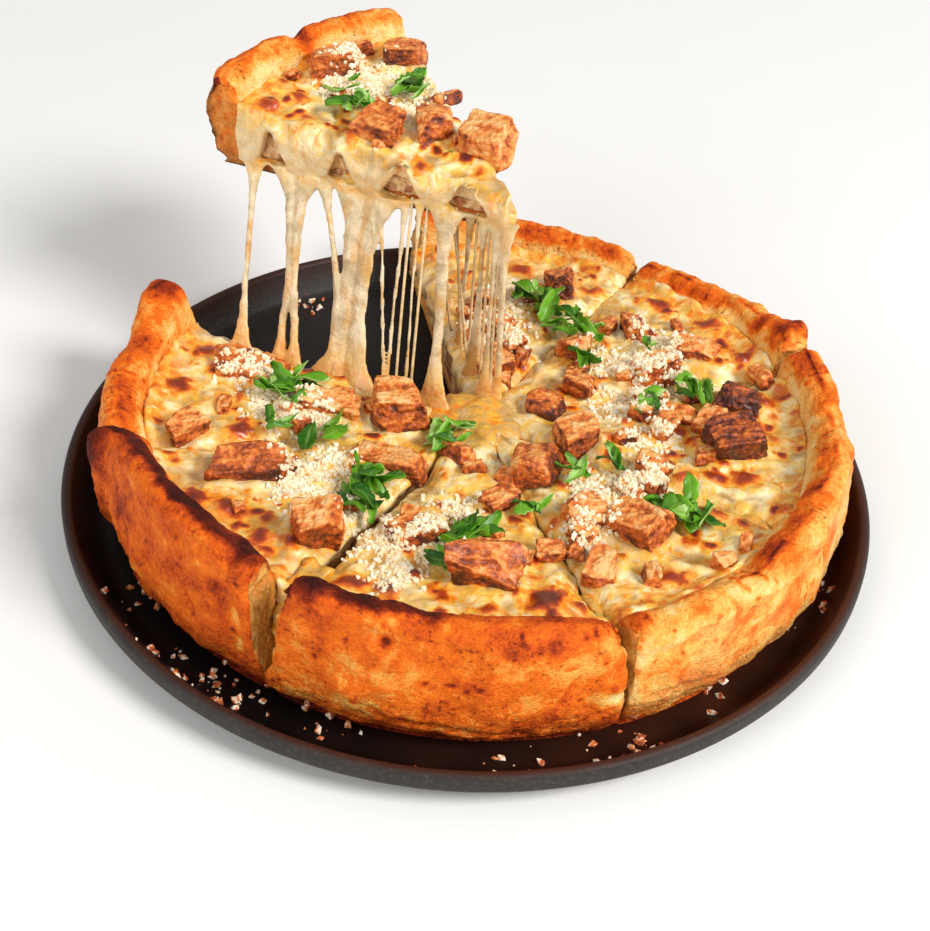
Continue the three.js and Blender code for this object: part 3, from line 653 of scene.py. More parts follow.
def steel_finish(name):
    look = bpy.context.scene.pizza_pan
    finish = Finish(name, specular_ior_level=0.22)
    wall, rim, grease = (finish.mark(m) for m in ("wall", "rim", "grease"))
    mottle = finish.noise(9, 4, 0.65)
    fine = finish.noise(1.6, 3, 0.7)
    scratches = finish.noise(2.2, 2, 0.6, stretch=(1, 0.12, 1))
    dark = finish.mix(mottle.above(0.35, 0.7), look.seasoned, srgb(10, 6, 6))
    # The floor is browner towards the right side of the pan.
    dark = finish.mix(grease * (mottle * 0.6 + 0.55), dark, srgb(66, 30, 14))
    worn = finish.mix(mottle.above(0.35, 0.65), srgb(48, 46, 45), look.worn)
    worn = finish.mix(fine.above(0.52, 0.72) * 0.35, worn, srgb(104, 99, 94))
    # Painted light: the wall mark lays grey over the walls and the back of the floor. The grey is
    # partly worn steel and partly light, where the back faces the camera and the lamps.
    colour = finish.mix((wall * (mottle * 0.6 + 0.7)).clipped(), dark, worn)
    colour = finish.mix((rim * (fine * 0.8 + 0.25)).clipped(), colour, srgb(74, 44, 34))
    finish.bump(mottle * 0.6 + fine * 0.3 + scratches * 0.15, 0.25, 0.6)
    return finish.done(colour, mottle * 0.2 + fine * 0.15 + wall * 0.1 + 0.3)


def crust_finish(name):
    look = bpy.context.scene.pizza_crust
    finish = Finish(name, specular_ior_level=0.14)
    bake, cut, pale, leather = (finish.mark(m) for m in ("bake", "cut", "pale", "leather"))
    patch = finish.noise(13, 3, 0.62, warp=0.5)
    grain = finish.noise(3.4, 3, 0.65, warp=0.4)
    fine = finish.noise(0.8, 2, 0.7)
    freckles = finish.noise(1.7, 1, 0.5)
    pimples = finish.noise(1.5, 2, 0.6, warp=0.6)
    wrinkles = finish.noise(4.5, 4, 0.62, stretch=(1, 1, 1.5), warp=2.6)
    tone = bake + (patch - 0.5) * 0.46 + (grain - 0.5) * 0.34 + (fine - 0.5) * 0.26 - 0.03
    tone = tone + (pimples - 0.5) * (leather * 0.3 + 0.12)
    tone = tone + (wrinkles - 0.5) * (leather * 0.4 + 0.12)
    stops = [
        (0.0, look.pale), (0.18, srgb(251, 180, 84)), (0.36, look.golden),
        (0.52, srgb(216, 88, 20)), (0.66, srgb(160, 54, 14)), (0.8, srgb(110, 32, 12)),
        (1.0, look.burnt),
    ]
    colour = finish.ramp(tone.clipped(), stops)
    speck = freckles.above(0.64, 0.7) * patch.above(0.48, 0.58)
    colour = finish.mix(speck * 0.7, colour, srgb(104, 32, 12))
    flour = finish.mix(fine.above(0.3, 0.7), srgb(255, 218, 150), srgb(248, 186, 96))
    colour = finish.mix((pale * (grain * 0.9 + 0.5)).clipped(), colour, flour)
    crumb = finish.mix(grain.above(0.35, 0.65), look.crumb, srgb(210, 136, 48))
    crumb = finish.mix(fine.above(0.5, 0.7) * 0.6, crumb, srgb(252, 220, 150))
    colour = finish.mix(cut * (grain.above(0.2, 0.5) * 0.3 + 0.7), colour, crumb)
    holes = finish.cells(1.9)
    relief = grain * 0.5 + fine * 0.45 + patch * 0.5 + (holes * cut) * 1.1
    relief = relief + wrinkles * (leather * 2.2 + 0.5) + pimples * 0.6
    finish.bump(relief, 0.9, 0.9)
    return finish.done(colour, 0.5 + bake * 0.12 + fine * 0.14)


def cheese_finish(name):
    look = bpy.context.scene.pizza_cheese
    finish = Finish(
        name,
        subsurface_weight=0.14,
        subsurface_radius=(1.0, 0.66, 0.3),
        subsurface_scale=1.8 * MM,
        specular_ior_level=0.5,
        coat_weight=0.25,
        coat_roughness=0.12,
    )
    brown, toast, side, deep = (finish.mark(m) for m in ("brown", "toast", "side", "deep"))
    patch = finish.noise(9, 3, 0.6, warp=0.9)
    pool = finish.noise(6, 2, 0.55, warp=1.6)
    grain = finish.noise(2.6, 3, 0.62, warp=0.5)
    fine = finish.noise(0.7, 2, 0.6)
    cream = finish.mix(patch.above(0.38, 0.6), look.cream, look.warm)
    cream = finish.mix(grain.above(0.5, 0.64) * 0.7, cream, srgb(255, 247, 214))
    # Painted shade in the dips, on the sides and in the cuts.
    hollow = (deep * (grain * 0.8 + 0.6)).clipped()
    colour = finish.mix(hollow * 0.8, cream, look.hollow)
    oil = (pool.above(0.54, 0.66) * 0.75 + toast * toast * (grain * 1.2 + 0.6)).clipped()
    golden = finish.mix(oil * grain.above(0.28, 0.56), srgb(255, 206, 72), srgb(240, 136, 14))
    colour = finish.mix(oil, colour, golden)
    # Stretched cheese on faces that don't face up: partly its own colour, partly painted shade.
    hanging = finish.mix(patch.above(0.4, 0.6), look.hanging, srgb(234, 217, 186))
    colour = finish.mix((side * 0.85).clipped(), colour, hanging)
    colour = finish.mix((side * toast * 0.95).clipped(), colour, srgb(222, 160, 52))
    scorch = brown + (grain - 0.5) * 0.5 * brown.above(0.02, 0.3) + (fine - 0.5) * 0.16
    stops = [
        (0.0, srgb(250, 182, 60)), (0.2, srgb(238, 136, 24)), (0.42, srgb(206, 90, 14)),
        (0.66, srgb(160, 54, 10)), (1.0, look.burnt),
    ]
    colour = finish.mix(brown.above(0.0, 0.36), colour, finish.ramp(scorch.clipped(), stops))
    finish.bump(grain * 0.5 + fine * 0.2 + patch * 0.6 + pool * 0.6, 0.8, 0.9)
    return finish.done(colour, grain * 0.24 + patch * 0.12 + 0.12)


def filling_finish(name):
    finish = Finish(name, coat_weight=0.1, coat_roughness=0.25)
    patch = finish.noise(7, 3, 0.6, warp=0.8)
    grain = finish.noise(2, 3, 0.6)
    meat = finish.mix(grain.above(0.35, 0.7), srgb(206, 138, 84), srgb(128, 68, 34))
    curd = finish.mix(grain.above(0.4, 0.65), srgb(246, 214, 158), srgb(214, 158, 92))
    colour = finish.mix(patch.above(0.46, 0.56), curd, meat)
    finish.bump(grain * 0.6 + patch * 0.9, 1.0, 1.0)
    return finish.done(colour, grain * 0.3 + 0.34)


def chicken_finish(name):
    look = bpy.context.scene.pizza_toppings
    finish = Finish(name, specular_ior_level=0.45, coat_weight=0.18, coat_roughness=0.25)
    roast, fibre = finish.mark("roast"), finish.mark("fibre")
    where = finish.mark("lengthwise", "Vector")
    strand = finish.noise_at(where, 1.0, 3.0, Roughness=0.65, Distortion=0.5)
    patch = finish.noise(4.2, 3, 0.65, warp=0.8)
    fine = finish.noise(0.75, 2, 0.7)
    beads = finish.cells(1.4, "SMOOTH_F1", warp=0.8)
    tone = roast * 0.9 + (patch - 0.5) * 0.34 + (fine - 0.5) * 0.4 + (strand - 0.5) * 0.34
    # Painted shade: the tone darkens where the relief dips, between the raised fibres and between
    # the beads.
    tone = tone + (0.5 - fibre) * 0.34 + (beads - 0.4) * 0.5
    stops = [
        (0.0, look.meat_light), (0.24, srgb(242, 156, 74)), (0.44, srgb(216, 108, 34)),
        (0.64, srgb(168, 76, 24)), (0.82, srgb(112, 44, 14)), (1.0, look.meat_dark),
    ]
    colour = finish.ramp(tone.clipped(), stops)
    finish.bump(fibre * 0.4 + fine * 0.45 + patch * 0.4 + strand * 0.6 - beads * 1.1, 0.8, 1.0)
    return finish.done(colour, fine * 0.35 + 0.26)


def basil_finish(name):
    look = bpy.context.scene.pizza_toppings
    finish = Finish(name, specular_ior_level=0.3, coat_weight=0.1, coat_roughness=0.2)
    vein, tone = finish.mark("vein"), finish.mark("tone")
    patch = finish.noise(3, 3, 0.6)
    # The tone runs from painted shade in the folds to the light leaf.
    colour = finish.mix(tone, look.leaf_dark, look.leaf_light)
    # Painted highlights: lighter green patches on the lighter leaves.
    colour = finish.mix(patch.above(0.5, 0.75) * tone * 0.5, colour, srgb(140, 190, 60))
    colour = finish.mix(tone.above(0.9, 1.0) * 0.7, colour, srgb(176, 206, 128))
    colour = finish.mix(vein * 0.3, colour, srgb(158, 196, 90))
    finish.bump(vein * -0.6 + patch * 0.5, 0.3, 0.6)
    return finish.done(colour, patch * 0.2 + 0.3)


def grated_finish(name):
    look = bpy.context.scene.pizza_toppings
    finish = Finish(name, specular_ior_level=0.35)
    patch = finish.noise(2.1, 2, 0.5)
    colour = finish.mix(patch.above(0.38, 0.62), look.grated, srgb(240, 218, 174))
    finish.bump(finish.noise(0.6, 2, 0.5), 0.12, 0.5)
    return finish.done(colour, patch * 0.2 + 0.5)


def crumb_finish(name):
    finish = Finish(name)
    patch = finish.noise(2.2, 2, 0.5)
    stops = [
        (0.45, srgb(255, 240, 216)), (0.49, srgb(240, 160, 98)), (0.55, srgb(206, 102, 50)),
        (0.72, srgb(118, 48, 22)),
    ]
    finish.bump(finish.noise(0.6, 2, 0.5), 0.15, 0.6)
    return finish.done(finish.ramp(patch, stops), patch * 0.2 + 0.6)


def floor_finish(name):
    look = bpy.context.scene.pizza_stage
    finish = Finish(name)
    patch = finish.noise(60, 2, 0.5)
    paler = tuple(min(1, c * 1.02) for c in look.floor)
    return finish.done(finish.mix(patch, look.floor, paler), patch * 0.05 + 0.6)


# ---- Geometry node trees ----


class NodeTree(Nodes):
    """A geometry node tree with named inputs, built in the script."""

    def __init__(self, name, **inputs):
        self.tree = bpy.data.node_groups.new(name, "GeometryNodeTree")
        face = self.tree.interface
        inputs = {"Geometry": None, **inputs, "Finish": None}
        kinds = {"Geometry": "Geometry", "Finish": "Material"}
        self.ids = {}
        for label, value in inputs.items():
            label = label.replace("_", " ")
            kind = kinds.get(label) or ("Int" if isinstance(value, int) else "Float")
            made = face.new_socket(label, in_out="INPUT", socket_type="NodeSocket" + kind)
            if value is not None:
                made.default_value = value
            self.ids[label] = made.identifier
        face.new_socket("Geometry", in_out="OUTPUT", socket_type="NodeSocketGeometry")
        given = self.tree.nodes.new("NodeGroupInput").outputs
        self.given = {socket.name: Value(self, socket) for socket in given}

    def mark(self, name):
        """The number that the mesh carries at each corner."""
        kind = "GeometryNodeInputNamedAttribute"
        return self.node(kind, {"data_type": "FLOAT"}, {"Name": name}, "Attribute")

    def end(self, shape):
        """Makes instances real, gives the finish and ends the tree."""
        real = self.node("GeometryNodeRealizeInstances", {}, {"Geometry": shape})
        values = {"Geometry": real, "Material": self.given["Finish"]}
        painted = self.node("GeometryNodeSetMaterial", {}, values)
        self.feed(self.tree.nodes.new("NodeGroupOutput").inputs["Geometry"], painted)
        return self

    def apply(self, piece, **inputs):
        """Runs the tree on a piece with these inputs, and leaves it a plain mesh."""
        modifier = piece.modifiers.new("shape", "NODES")
        modifier.node_group = self.tree
        for label, value in inputs.items():
            modifier[self.ids[label.replace("_", " ")]] = value
        make_plain(piece)
        if not len(piece.data.polygons):
            raise RuntimeError(f"{piece.name} came out empty")


def line_object(name, points, edges, marks=None):
    """Lines from millimetres, for a tree to sweep."""
    mesh = bpy.data.meshes.new(name)
    mesh.from_pydata((points * MM).tolist(), edges, [])
    write_marks(mesh, marks or {})
    made = bpy.data.objects.new(name, mesh)
    bpy.context.scene.collection.objects.link(made)
    return made


def corners_and_normals(mesh):
    """Where a mesh's corners are, in millimetres, and their normals."""
    points, normals = read(mesh.vertices, "co", 3), read(mesh.vertex_normals, "vector", 3)
    return points.astype(float) / MM, normals.astype(float)


def faced_outwards(mesh):
    """Merges doubles and turns every face outwards."""
    work = bmesh.new()
    work.from_mesh(mesh)
    bmesh.ops.remove_doubles(work, verts=work.verts, dist=WELD)
    bmesh.ops.recalc_face_normals(work, faces=work.faces)
    work.to_mesh(mesh)
    work.free()


# ---- The pan ----


def rounded_path(points, radius, steps=5):
    """A path whose corners are turned into short curves."""
    out = [points[0]]
    for before, at, after in zip(points, points[1:], points[2:]):
        into, away = before - at, after - at
        reach = min(radius, np.linalg.norm(into) * 0.45, np.linalg.norm(away) * 0.45)
        p = at + into / np.linalg.norm(into) * reach
        q = at + away / np.linalg.norm(away) * reach
        for t in np.linspace(0, 1, steps):
            out.append((1 - t) ** 2 * p + 2 * t * (1 - t) * at + t * t * q)
    out.append(points[-1])
    return np.array(out)


def pan_profile(look):
    rim, top, bead = look.rim_radius / MM, look.height / MM, look.bead / MM
    base, floor, band = PAN["base"], PAN["floor"], PAN["band"]
    outside = [
        (0, 0), (base - 2, 0), (base + 1, 0.8), (rim - 1.6, top - bead - band),
        (rim, top - bead - band + 2),
    ]
    turns = np.radians(np.arange(0, 181, 22.5))
    curl = [(rim - bead + bead * math.cos(a), top - bead + bead * math.sin(a)) for a in turns]
    inside = [(base + 1.5, floor + 1.5), (base - 1.5, floor), (0, floor)]
    path = rounded_path(np.array(outside + curl[:1], float), 1.0, 4)
    rest = rounded_path(np.array(curl[-1:] + inside, float), 2.0, 5)
    whole = [path[:-1], np.array(curl), rest[1:]]
    fine = []
    for p, q in zip(np.concatenate(whole), np.concatenate(whole)[1:]):
        count = max(1, int(np.linalg.norm(q - p) / 7))
        fine += [lerp(p, q, k / count) for k in range(count)]
    return np.array(fine + [whole[-1][-1]])


def turned_tree():
    """Sweeps a section, drawn as radius and height, round a circle, and dents it a little."""
    tree = NodeTree(
        "turned_section", Sweep_radius=0.1, Segments=256, Dent_depth=0.0001, Dent_size=0.04
    )
    given = tree.given
    radius = given["Sweep radius"]
    shift = tree.node("ShaderNodeCombineXYZ", {}, {"X": radius * -1.0})
    values = {"Geometry": given["Geometry"], "Translation": shift, "Scale": (1.0, -1.0, 1.0)}
    section = tree.node("GeometryNodeTransform", {}, values)
    line = tree.node("GeometryNodeMeshToCurve", {}, {"Mesh": section})
    values = {"Resolution": given["Segments"], "Radius": radius}
    ring = tree.node("GeometryNodeCurvePrimitiveCircle", {}, values)
    swept = tree.node("GeometryNodeCurveToMesh", {}, {"Curve": ring, "Profile Curve": line})
    merged = tree.node("GeometryNodeMergeByDistance", {}, {"Geometry": swept, "Distance": WELD})
    values = {"Scale": 1.0 / given["Dent size"], "Detail": 1.0}
    depth = (tree.node("ShaderNodeTexNoise", {}, values) - 0.5) * given["Dent depth"]
    flat = tree.vector("MULTIPLY", tree.node("GeometryNodeInputPosition"), (1.0, 1.0, 0.0))
    out = tree.vector("NORMALIZE", flat)
    offset = tree.vector("SCALE", out, Scale=depth.maths("MINIMUM", depth, 0.0))
    return tree.end(
        tree.node("GeometryNodeSetPosition", {}, {"Geometry": merged, "Offset": offset})
    )


def build_pan(context):
    look = context.scene.pizza_pan
    finish = material("seasoned_steel", steel_finish)
    path = pan_profile(look)
    section = np.stack([path[:, 0], path[:, 1], 0 * path[:, 0]], 1)
    pan = line_object("steel_pan", section, [(k, k + 1) for k in range(len(path) - 1)])
    turned_tree().apply(
        pan, Segments=look.segments, Dent_depth=look.dents, Dent_size=0.045, Finish=finish
    )
    mesh = pan.data
    faced_outwards(mesh)
    mesh.shade_smooth()
    points, normal = corners_and_normals(mesh)
    r = np.hypot(points[:, 0], points[:, 1])
    side = np.arctan2(points[:, 1], points[:, 0])
    rim = bell(points[:, 2], PAN["top"], 2.6) * smooth_step(140, 138, r) * (r > 133)
    wall = smooth_step(128.5, 131, r) * (1 - 0.6 * rim)
    # Painted light: the walls, and the floor at the back, turn greyer towards the back of the pan,
    # where they face the camera and the lamps.
    painted_light_back = clamp01(0.5 + 1.2 * np.sin(side) - 0.25 * np.cos(side))
    outer = normal[:, 0] * np.cos(side) + normal[:, 1] * np.sin(side)
    wall = wall * np.where(outer > 0.2, 1.0, 0.9 * painted_light_back)
    wall = np.maximum(wall, 0.5 * painted_light_back * smooth_step(40, 110, r) * (points[:, 2] > 1))
    # Browner towards the right side of the pan.
    grease = clamp01(0.15 + 0.95 * np.cos(side + 0.25)) * (0.7 + 0.5 * noise(points, 14, 3))
    write_marks(mesh, {"wall": wall, "rim": rim, "grease": clamp01(grease)})
    settle(pan, finish, ["pan"])


# ---- The crusts ----


def spline_weights(knots, samples):
    """Weights that carry knot points to points of a smooth curve through them."""
    weights = np.zeros((len(samples), knots))
    for row, t in enumerate(samples):
        k = min(int(t), knots - 2)
        f = t - k
        basis = (
            -0.5 * f**3 + f**2 - 0.5 * f,
            1.5 * f**3 - 2.5 * f**2 + 1,
            -1.5 * f**3 + 2 * f**2 + 0.5 * f,
            0.5 * f**3 - 0.5 * f**2,
        )
        for shift, weight in zip((-1, 0, 1, 2), basis):
            weights[row, min(knots - 1, max(0, k + shift))] += weight
    return weights


def crust_chains(cut, u):
    """The outer and the inner line of the crust's section at each share u."""
    scale = cut.scale
    crest = cut.crest_height(u)
    out = cut.crest_out(u) - 0.8 * cut.edge_round(u)
    inner = np.full_like(u, cut.inner)
    level = cut.cheese_top(u, inner)
    swell = 0.8 * np.sin(u * 17 + cut.start) + 0.5 * np.sin(u * 31 + cut.end)
    foot = np.full_like(u, PIE["foot"] * scale)
    bulge = PIE["bulge"] * scale + swell * 0.6 + out * 0.4
    top = PIE["crest"] * scale + out
    tip, zero = np.full_like(u, PIE["tip"]), np.zeros_like(u)
    under = zero + PIE["under"]
    outer = [
        (tip, zero), (foot - 6, zero), (foot + 0.6, zero + 0.25), (foot + 3.5, zero + 2),
        (bulge - 2, zero + PIE["bulge_height"] * 0.45), (bulge, zero + PIE["bulge_height"]),
        (bulge - 0.6, lerp(PIE["bulge_height"], crest, 0.45)), (top + 3.2, crest - 5),
        (top + 1.6, crest - 1.3), (top - 1.2, crest - 0.05),
    ]
    inside = [
        (tip, under), (inner - 8, under), (inner - 2.5, under), (inner, under + 2.5),
        (inner, level - 5), (inner, level - 1.5), (inner + 1.2, np.maximum(level + 1, crest - 9)),
        (top - 8, crest - 3.4), (top - 5.2, crest - 1), (top - 3.2, crest - 0.1),
    ]
    return np.array(outer), np.array(inside)


# Marks baked into a crust's wall: direction, height, half width in degrees, half height, how far
# it stands out, and how dark it is.
CRUST_MARKS = {
    "a": [
        (-139.9, 25.4, 1.2, 2.0, -0.6, 0.14), (-152, 33, 4, 6, -0.9, 0.06),
        (-159, 36, 2.4, 7, 1.4, 0.2), (-130, 22, 4, 3, -0.8, 0.08), (-147, 12, 6, 2.2, -0.8, 0.1),
        (-122, 31, 0.8, 4, -1.0, -0.3), (-121.4, 20, 0.7, 5, -1.0, -0.34),
    ],
    "b": [
        (-99.8, 41.8, 0.75, 2.1, -1.6, 0.5), (-113.8, 37.4, 0.6, 0.8, -0.3, 0.3),
        (-109.2, 29.9, 0.5, 1.2, -0.5, 0.38), (-105, 40, 0.4, 0.7, -0.2, 0.3),
        (-94.4, 28.9, 0.5, 0.6, -0.4, 0.4), (-91.2, 29.2, 0.65, 0.7, -0.5, 0.48),
        (-87.4, 28.7, 0.6, 0.7, -0.5, 0.45), (-89.5, 29, 3.5, 1.8, 0, 0.1),
        (-82.6, 48, 0.4, 0.8, -0.2, 0.36), (-80.3, 43.3, 0.4, 0.7, -0.2, 0.3),
        (-79, 40.3, 0.3, 0.6, -0.2, 0.28), (-74.1, 45, 0.8, 1.0, -0.4, 0.34),
        (-72.6, 44.8, 0.5, 0.8, 0.3, 0.42), (-80.5, 44, 3.6, 3.2, 0.4, 0.2),
        (-71.5, 31, 1.2, 5, 0.5, -0.1), (-69.4, 20.5, 1.5, 2.2, -1.4, -0.36),
        (-68.6, 12, 1.2, 1.2, -0.9, 0.1), (-116.5, 15, 1.6, 5, 1.6, 0.05),
        (-115.5, 8, 2.2, 2.0, 1.2, -0.1),
    ],
    "c": [
        (-53.4, 29, 0.5, 0.7, -0.4, 0.3), (-46.8, 37.4, 0.5, 0.8, -0.3, 0.3),
        (-60, 38, 5, 2.2, 1.3, -0.05), (-60, 34, 6, 1.3, -1.0, 0.1),
        (-44, 38, 4.5, 2.2, 1.2, -0.05), (-43, 33, 5, 1.2, -0.8, 0.08),
        (-50, 14, 9, 1.2, -0.7, 0.05), (-34, 26, 3, 5, -0.7, -0.05),
    ],
    "d": [
        (-12, 26, 5, 6, -0.9, 0.0), (6, 24, 4, 8, 0.8, 0.0), (-20, 33, 2, 4, -1.0, 0.1),
        (12, 30, 2.5, 4, -1.0, 0.1),
    ],
    "e": [(30, 20, 4, 5, 1.0, 0.1), (48, 16, 5, 4, -0.8, 0.05)],
    "f": [(80, 18, 5, 6, 1.0, 0.0), (92, 24, 3, 5, -0.8, 0.05)],
    "g": [
        (170, 26, 3, 1.6, -1.6, 0.3), (184, 18, 5, 5, 0.8, 0.0), (168, 32, 1.4, 2.6, -0.8, 0.34),
        (192, 30, 3, 4, -0.8, 0.05),
    ],
    "lifted": [(122, 16, 3, 6, -0.8, 0.1), (140, 20, 3, 6, -0.8, 0.1)],
}
# Creases in a wall: their depth and the directions and heights that they run through.
CREASES = {
    "a": [(0.8, [(-158, 24), (-150, 17), (-139, 13)]), (0.7, [(-136, 38), (-131, 30), (-128, 17)])],
    "b": [
        (1.0, [(-108, 18), (-98, 13), (-86.9, 9.6), (-76, 6.0)]),
        (0.6, [(-74.5, 33), (-77, 22), (-79, 15)]), (0.5, [(-72, 17), (-74, 11), (-78, 8)]),
        (0.5, [(-112, 13), (-104, 8.5), (-94, 5.5)]),
    ],
    "c": [(0.8, [(-66, 20), (-58, 15), (-47, 12)]), (0.8, [(-52, 44), (-50, 36), (-51, 30)])],
    "d": [(0.8, [(-26, 19), (-12, 14), (4, 16)]), (0.6, [(-4, 34), (0, 27), (-2, 20)])],
    "e": [(0.7, [(22, 15), (34, 11), (46, 14)])], "f": [(0.7, [(64, 16), (78, 12), (96, 15)])],
    "g": [(1.1, [(161, 25), (168, 22.5), (176, 24)]), (0.7, [(178, 12), (188, 9), (196, 11)])],
    "lifted": [(0.7, [(112, 12), (126, 9), (146, 13)])],
}
# Burnt stretches of a crest: place from 0 to 1, half width, darkness, and how many millimetres
# they spread from the inner lip.
BURNS = {
    "a": [(0.02, 0.06, 0.3, 12), (0.3, 0.3, 0.36, 4), (0.68, 0.26, 0.38, 5), (0.93, 0.06, 0.4, 9)],
    "b": [
        (0.06, 0.1, 0.36, 9), (0.24, 0.16, 0.46, 5), (0.42, 0.08, 0.36, 3.5), (0.8, 0.2, 0.12, 3),
    ],
    "c": [(0.04, 0.05, 0.34, 6), (0.35, 0.2, 0.14, 3), (0.74, 0.1, 0.24, 4), (0.9, 0.05, 0.3, 5)],
    "d": [(0.08, 0.06, 0.3, 5), (0.45, 0.2, 0.14, 3), (0.9, 0.08, 0.3, 5)],
    "e": [(0.1, 0.06, 0.54, 9), (0.24, 0.04, 0.4, 5), (0.6, 0.2, 0.18, 3), (0.95, 0.04, 0.2, 5)],
    "f": [(0.1, 0.06, 0.24, 5), (0.5, 0.2, 0.2, 3), (0.9, 0.06, 0.2, 5)],
    "g": [(0.1, 0.1, 0.34, 7), (0.4, 0.14, 0.16, 4), (0.85, 0.16, 0.24, 4)],
    "lifted": [(0.5, 0.03, 0.24, 7)],
}
# How well baked each crust is all over.
BAKE = {"a": 0.51, "b": 0.43, "c": 0.28, "d": 0.3, "e": 0.3, "f": 0.29, "g": 0.37, "lifted": 0.33}
# How pale the wall of each crust is.
PALE = {"a": 0.0, "b": 0.0, "c": 0.3, "d": 0.8, "e": 0.5, "f": 0.3, "g": 0.2, "lifted": 0.6}
# How far each end of a crust reaches into its cut, at the foot and higher up, in millimetres.
ENDS = {
    "a": ((1.0, 0.2), (4.6, 0.8)), "b": ((4.2, 0.6), (1.3, 1.2)), "c": ((1.3, 0.8), (1.2, 1.2)),
    "d": ((1.2, 1.2), (1.4, 0.6)), "e": ((1.4, 0.6), (0.8, 0.0)), "f": ((0.8, 0.0), (0.6, 0.0)),
    "g": ((0.6, 0.0), (1.0, 0.4)), "lifted": ((0.0, 0.0), (0.0, 0.0)),
}


def from_line(x, y, line):
    """The distance of points from a broken line, and how far along it they lie, from 0 to 1."""
    best, along = np.full_like(x, 1e9), np.zeros_like(x)
    pieces = list(zip(line, line[1:]))
    for k, ((ax, ay), (bx, by)) in enumerate(pieces):
        dx, dy = bx - ax, by - ay
        t = clamp01(((x - ax) * dx + (y - ay) * dy) / (dx * dx + dy * dy))
        d = np.hypot(x - ax - t * dx, y - ay - t * dy)
        along = np.where(d < best, (k + t) / len(pieces), along)
        best = np.minimum(best, d)
    return best, along


# Where a crust's wall is measured along, in millimetres, and how many pimples it has.
WALL_RADIUS, PIMPLES = 126, 46


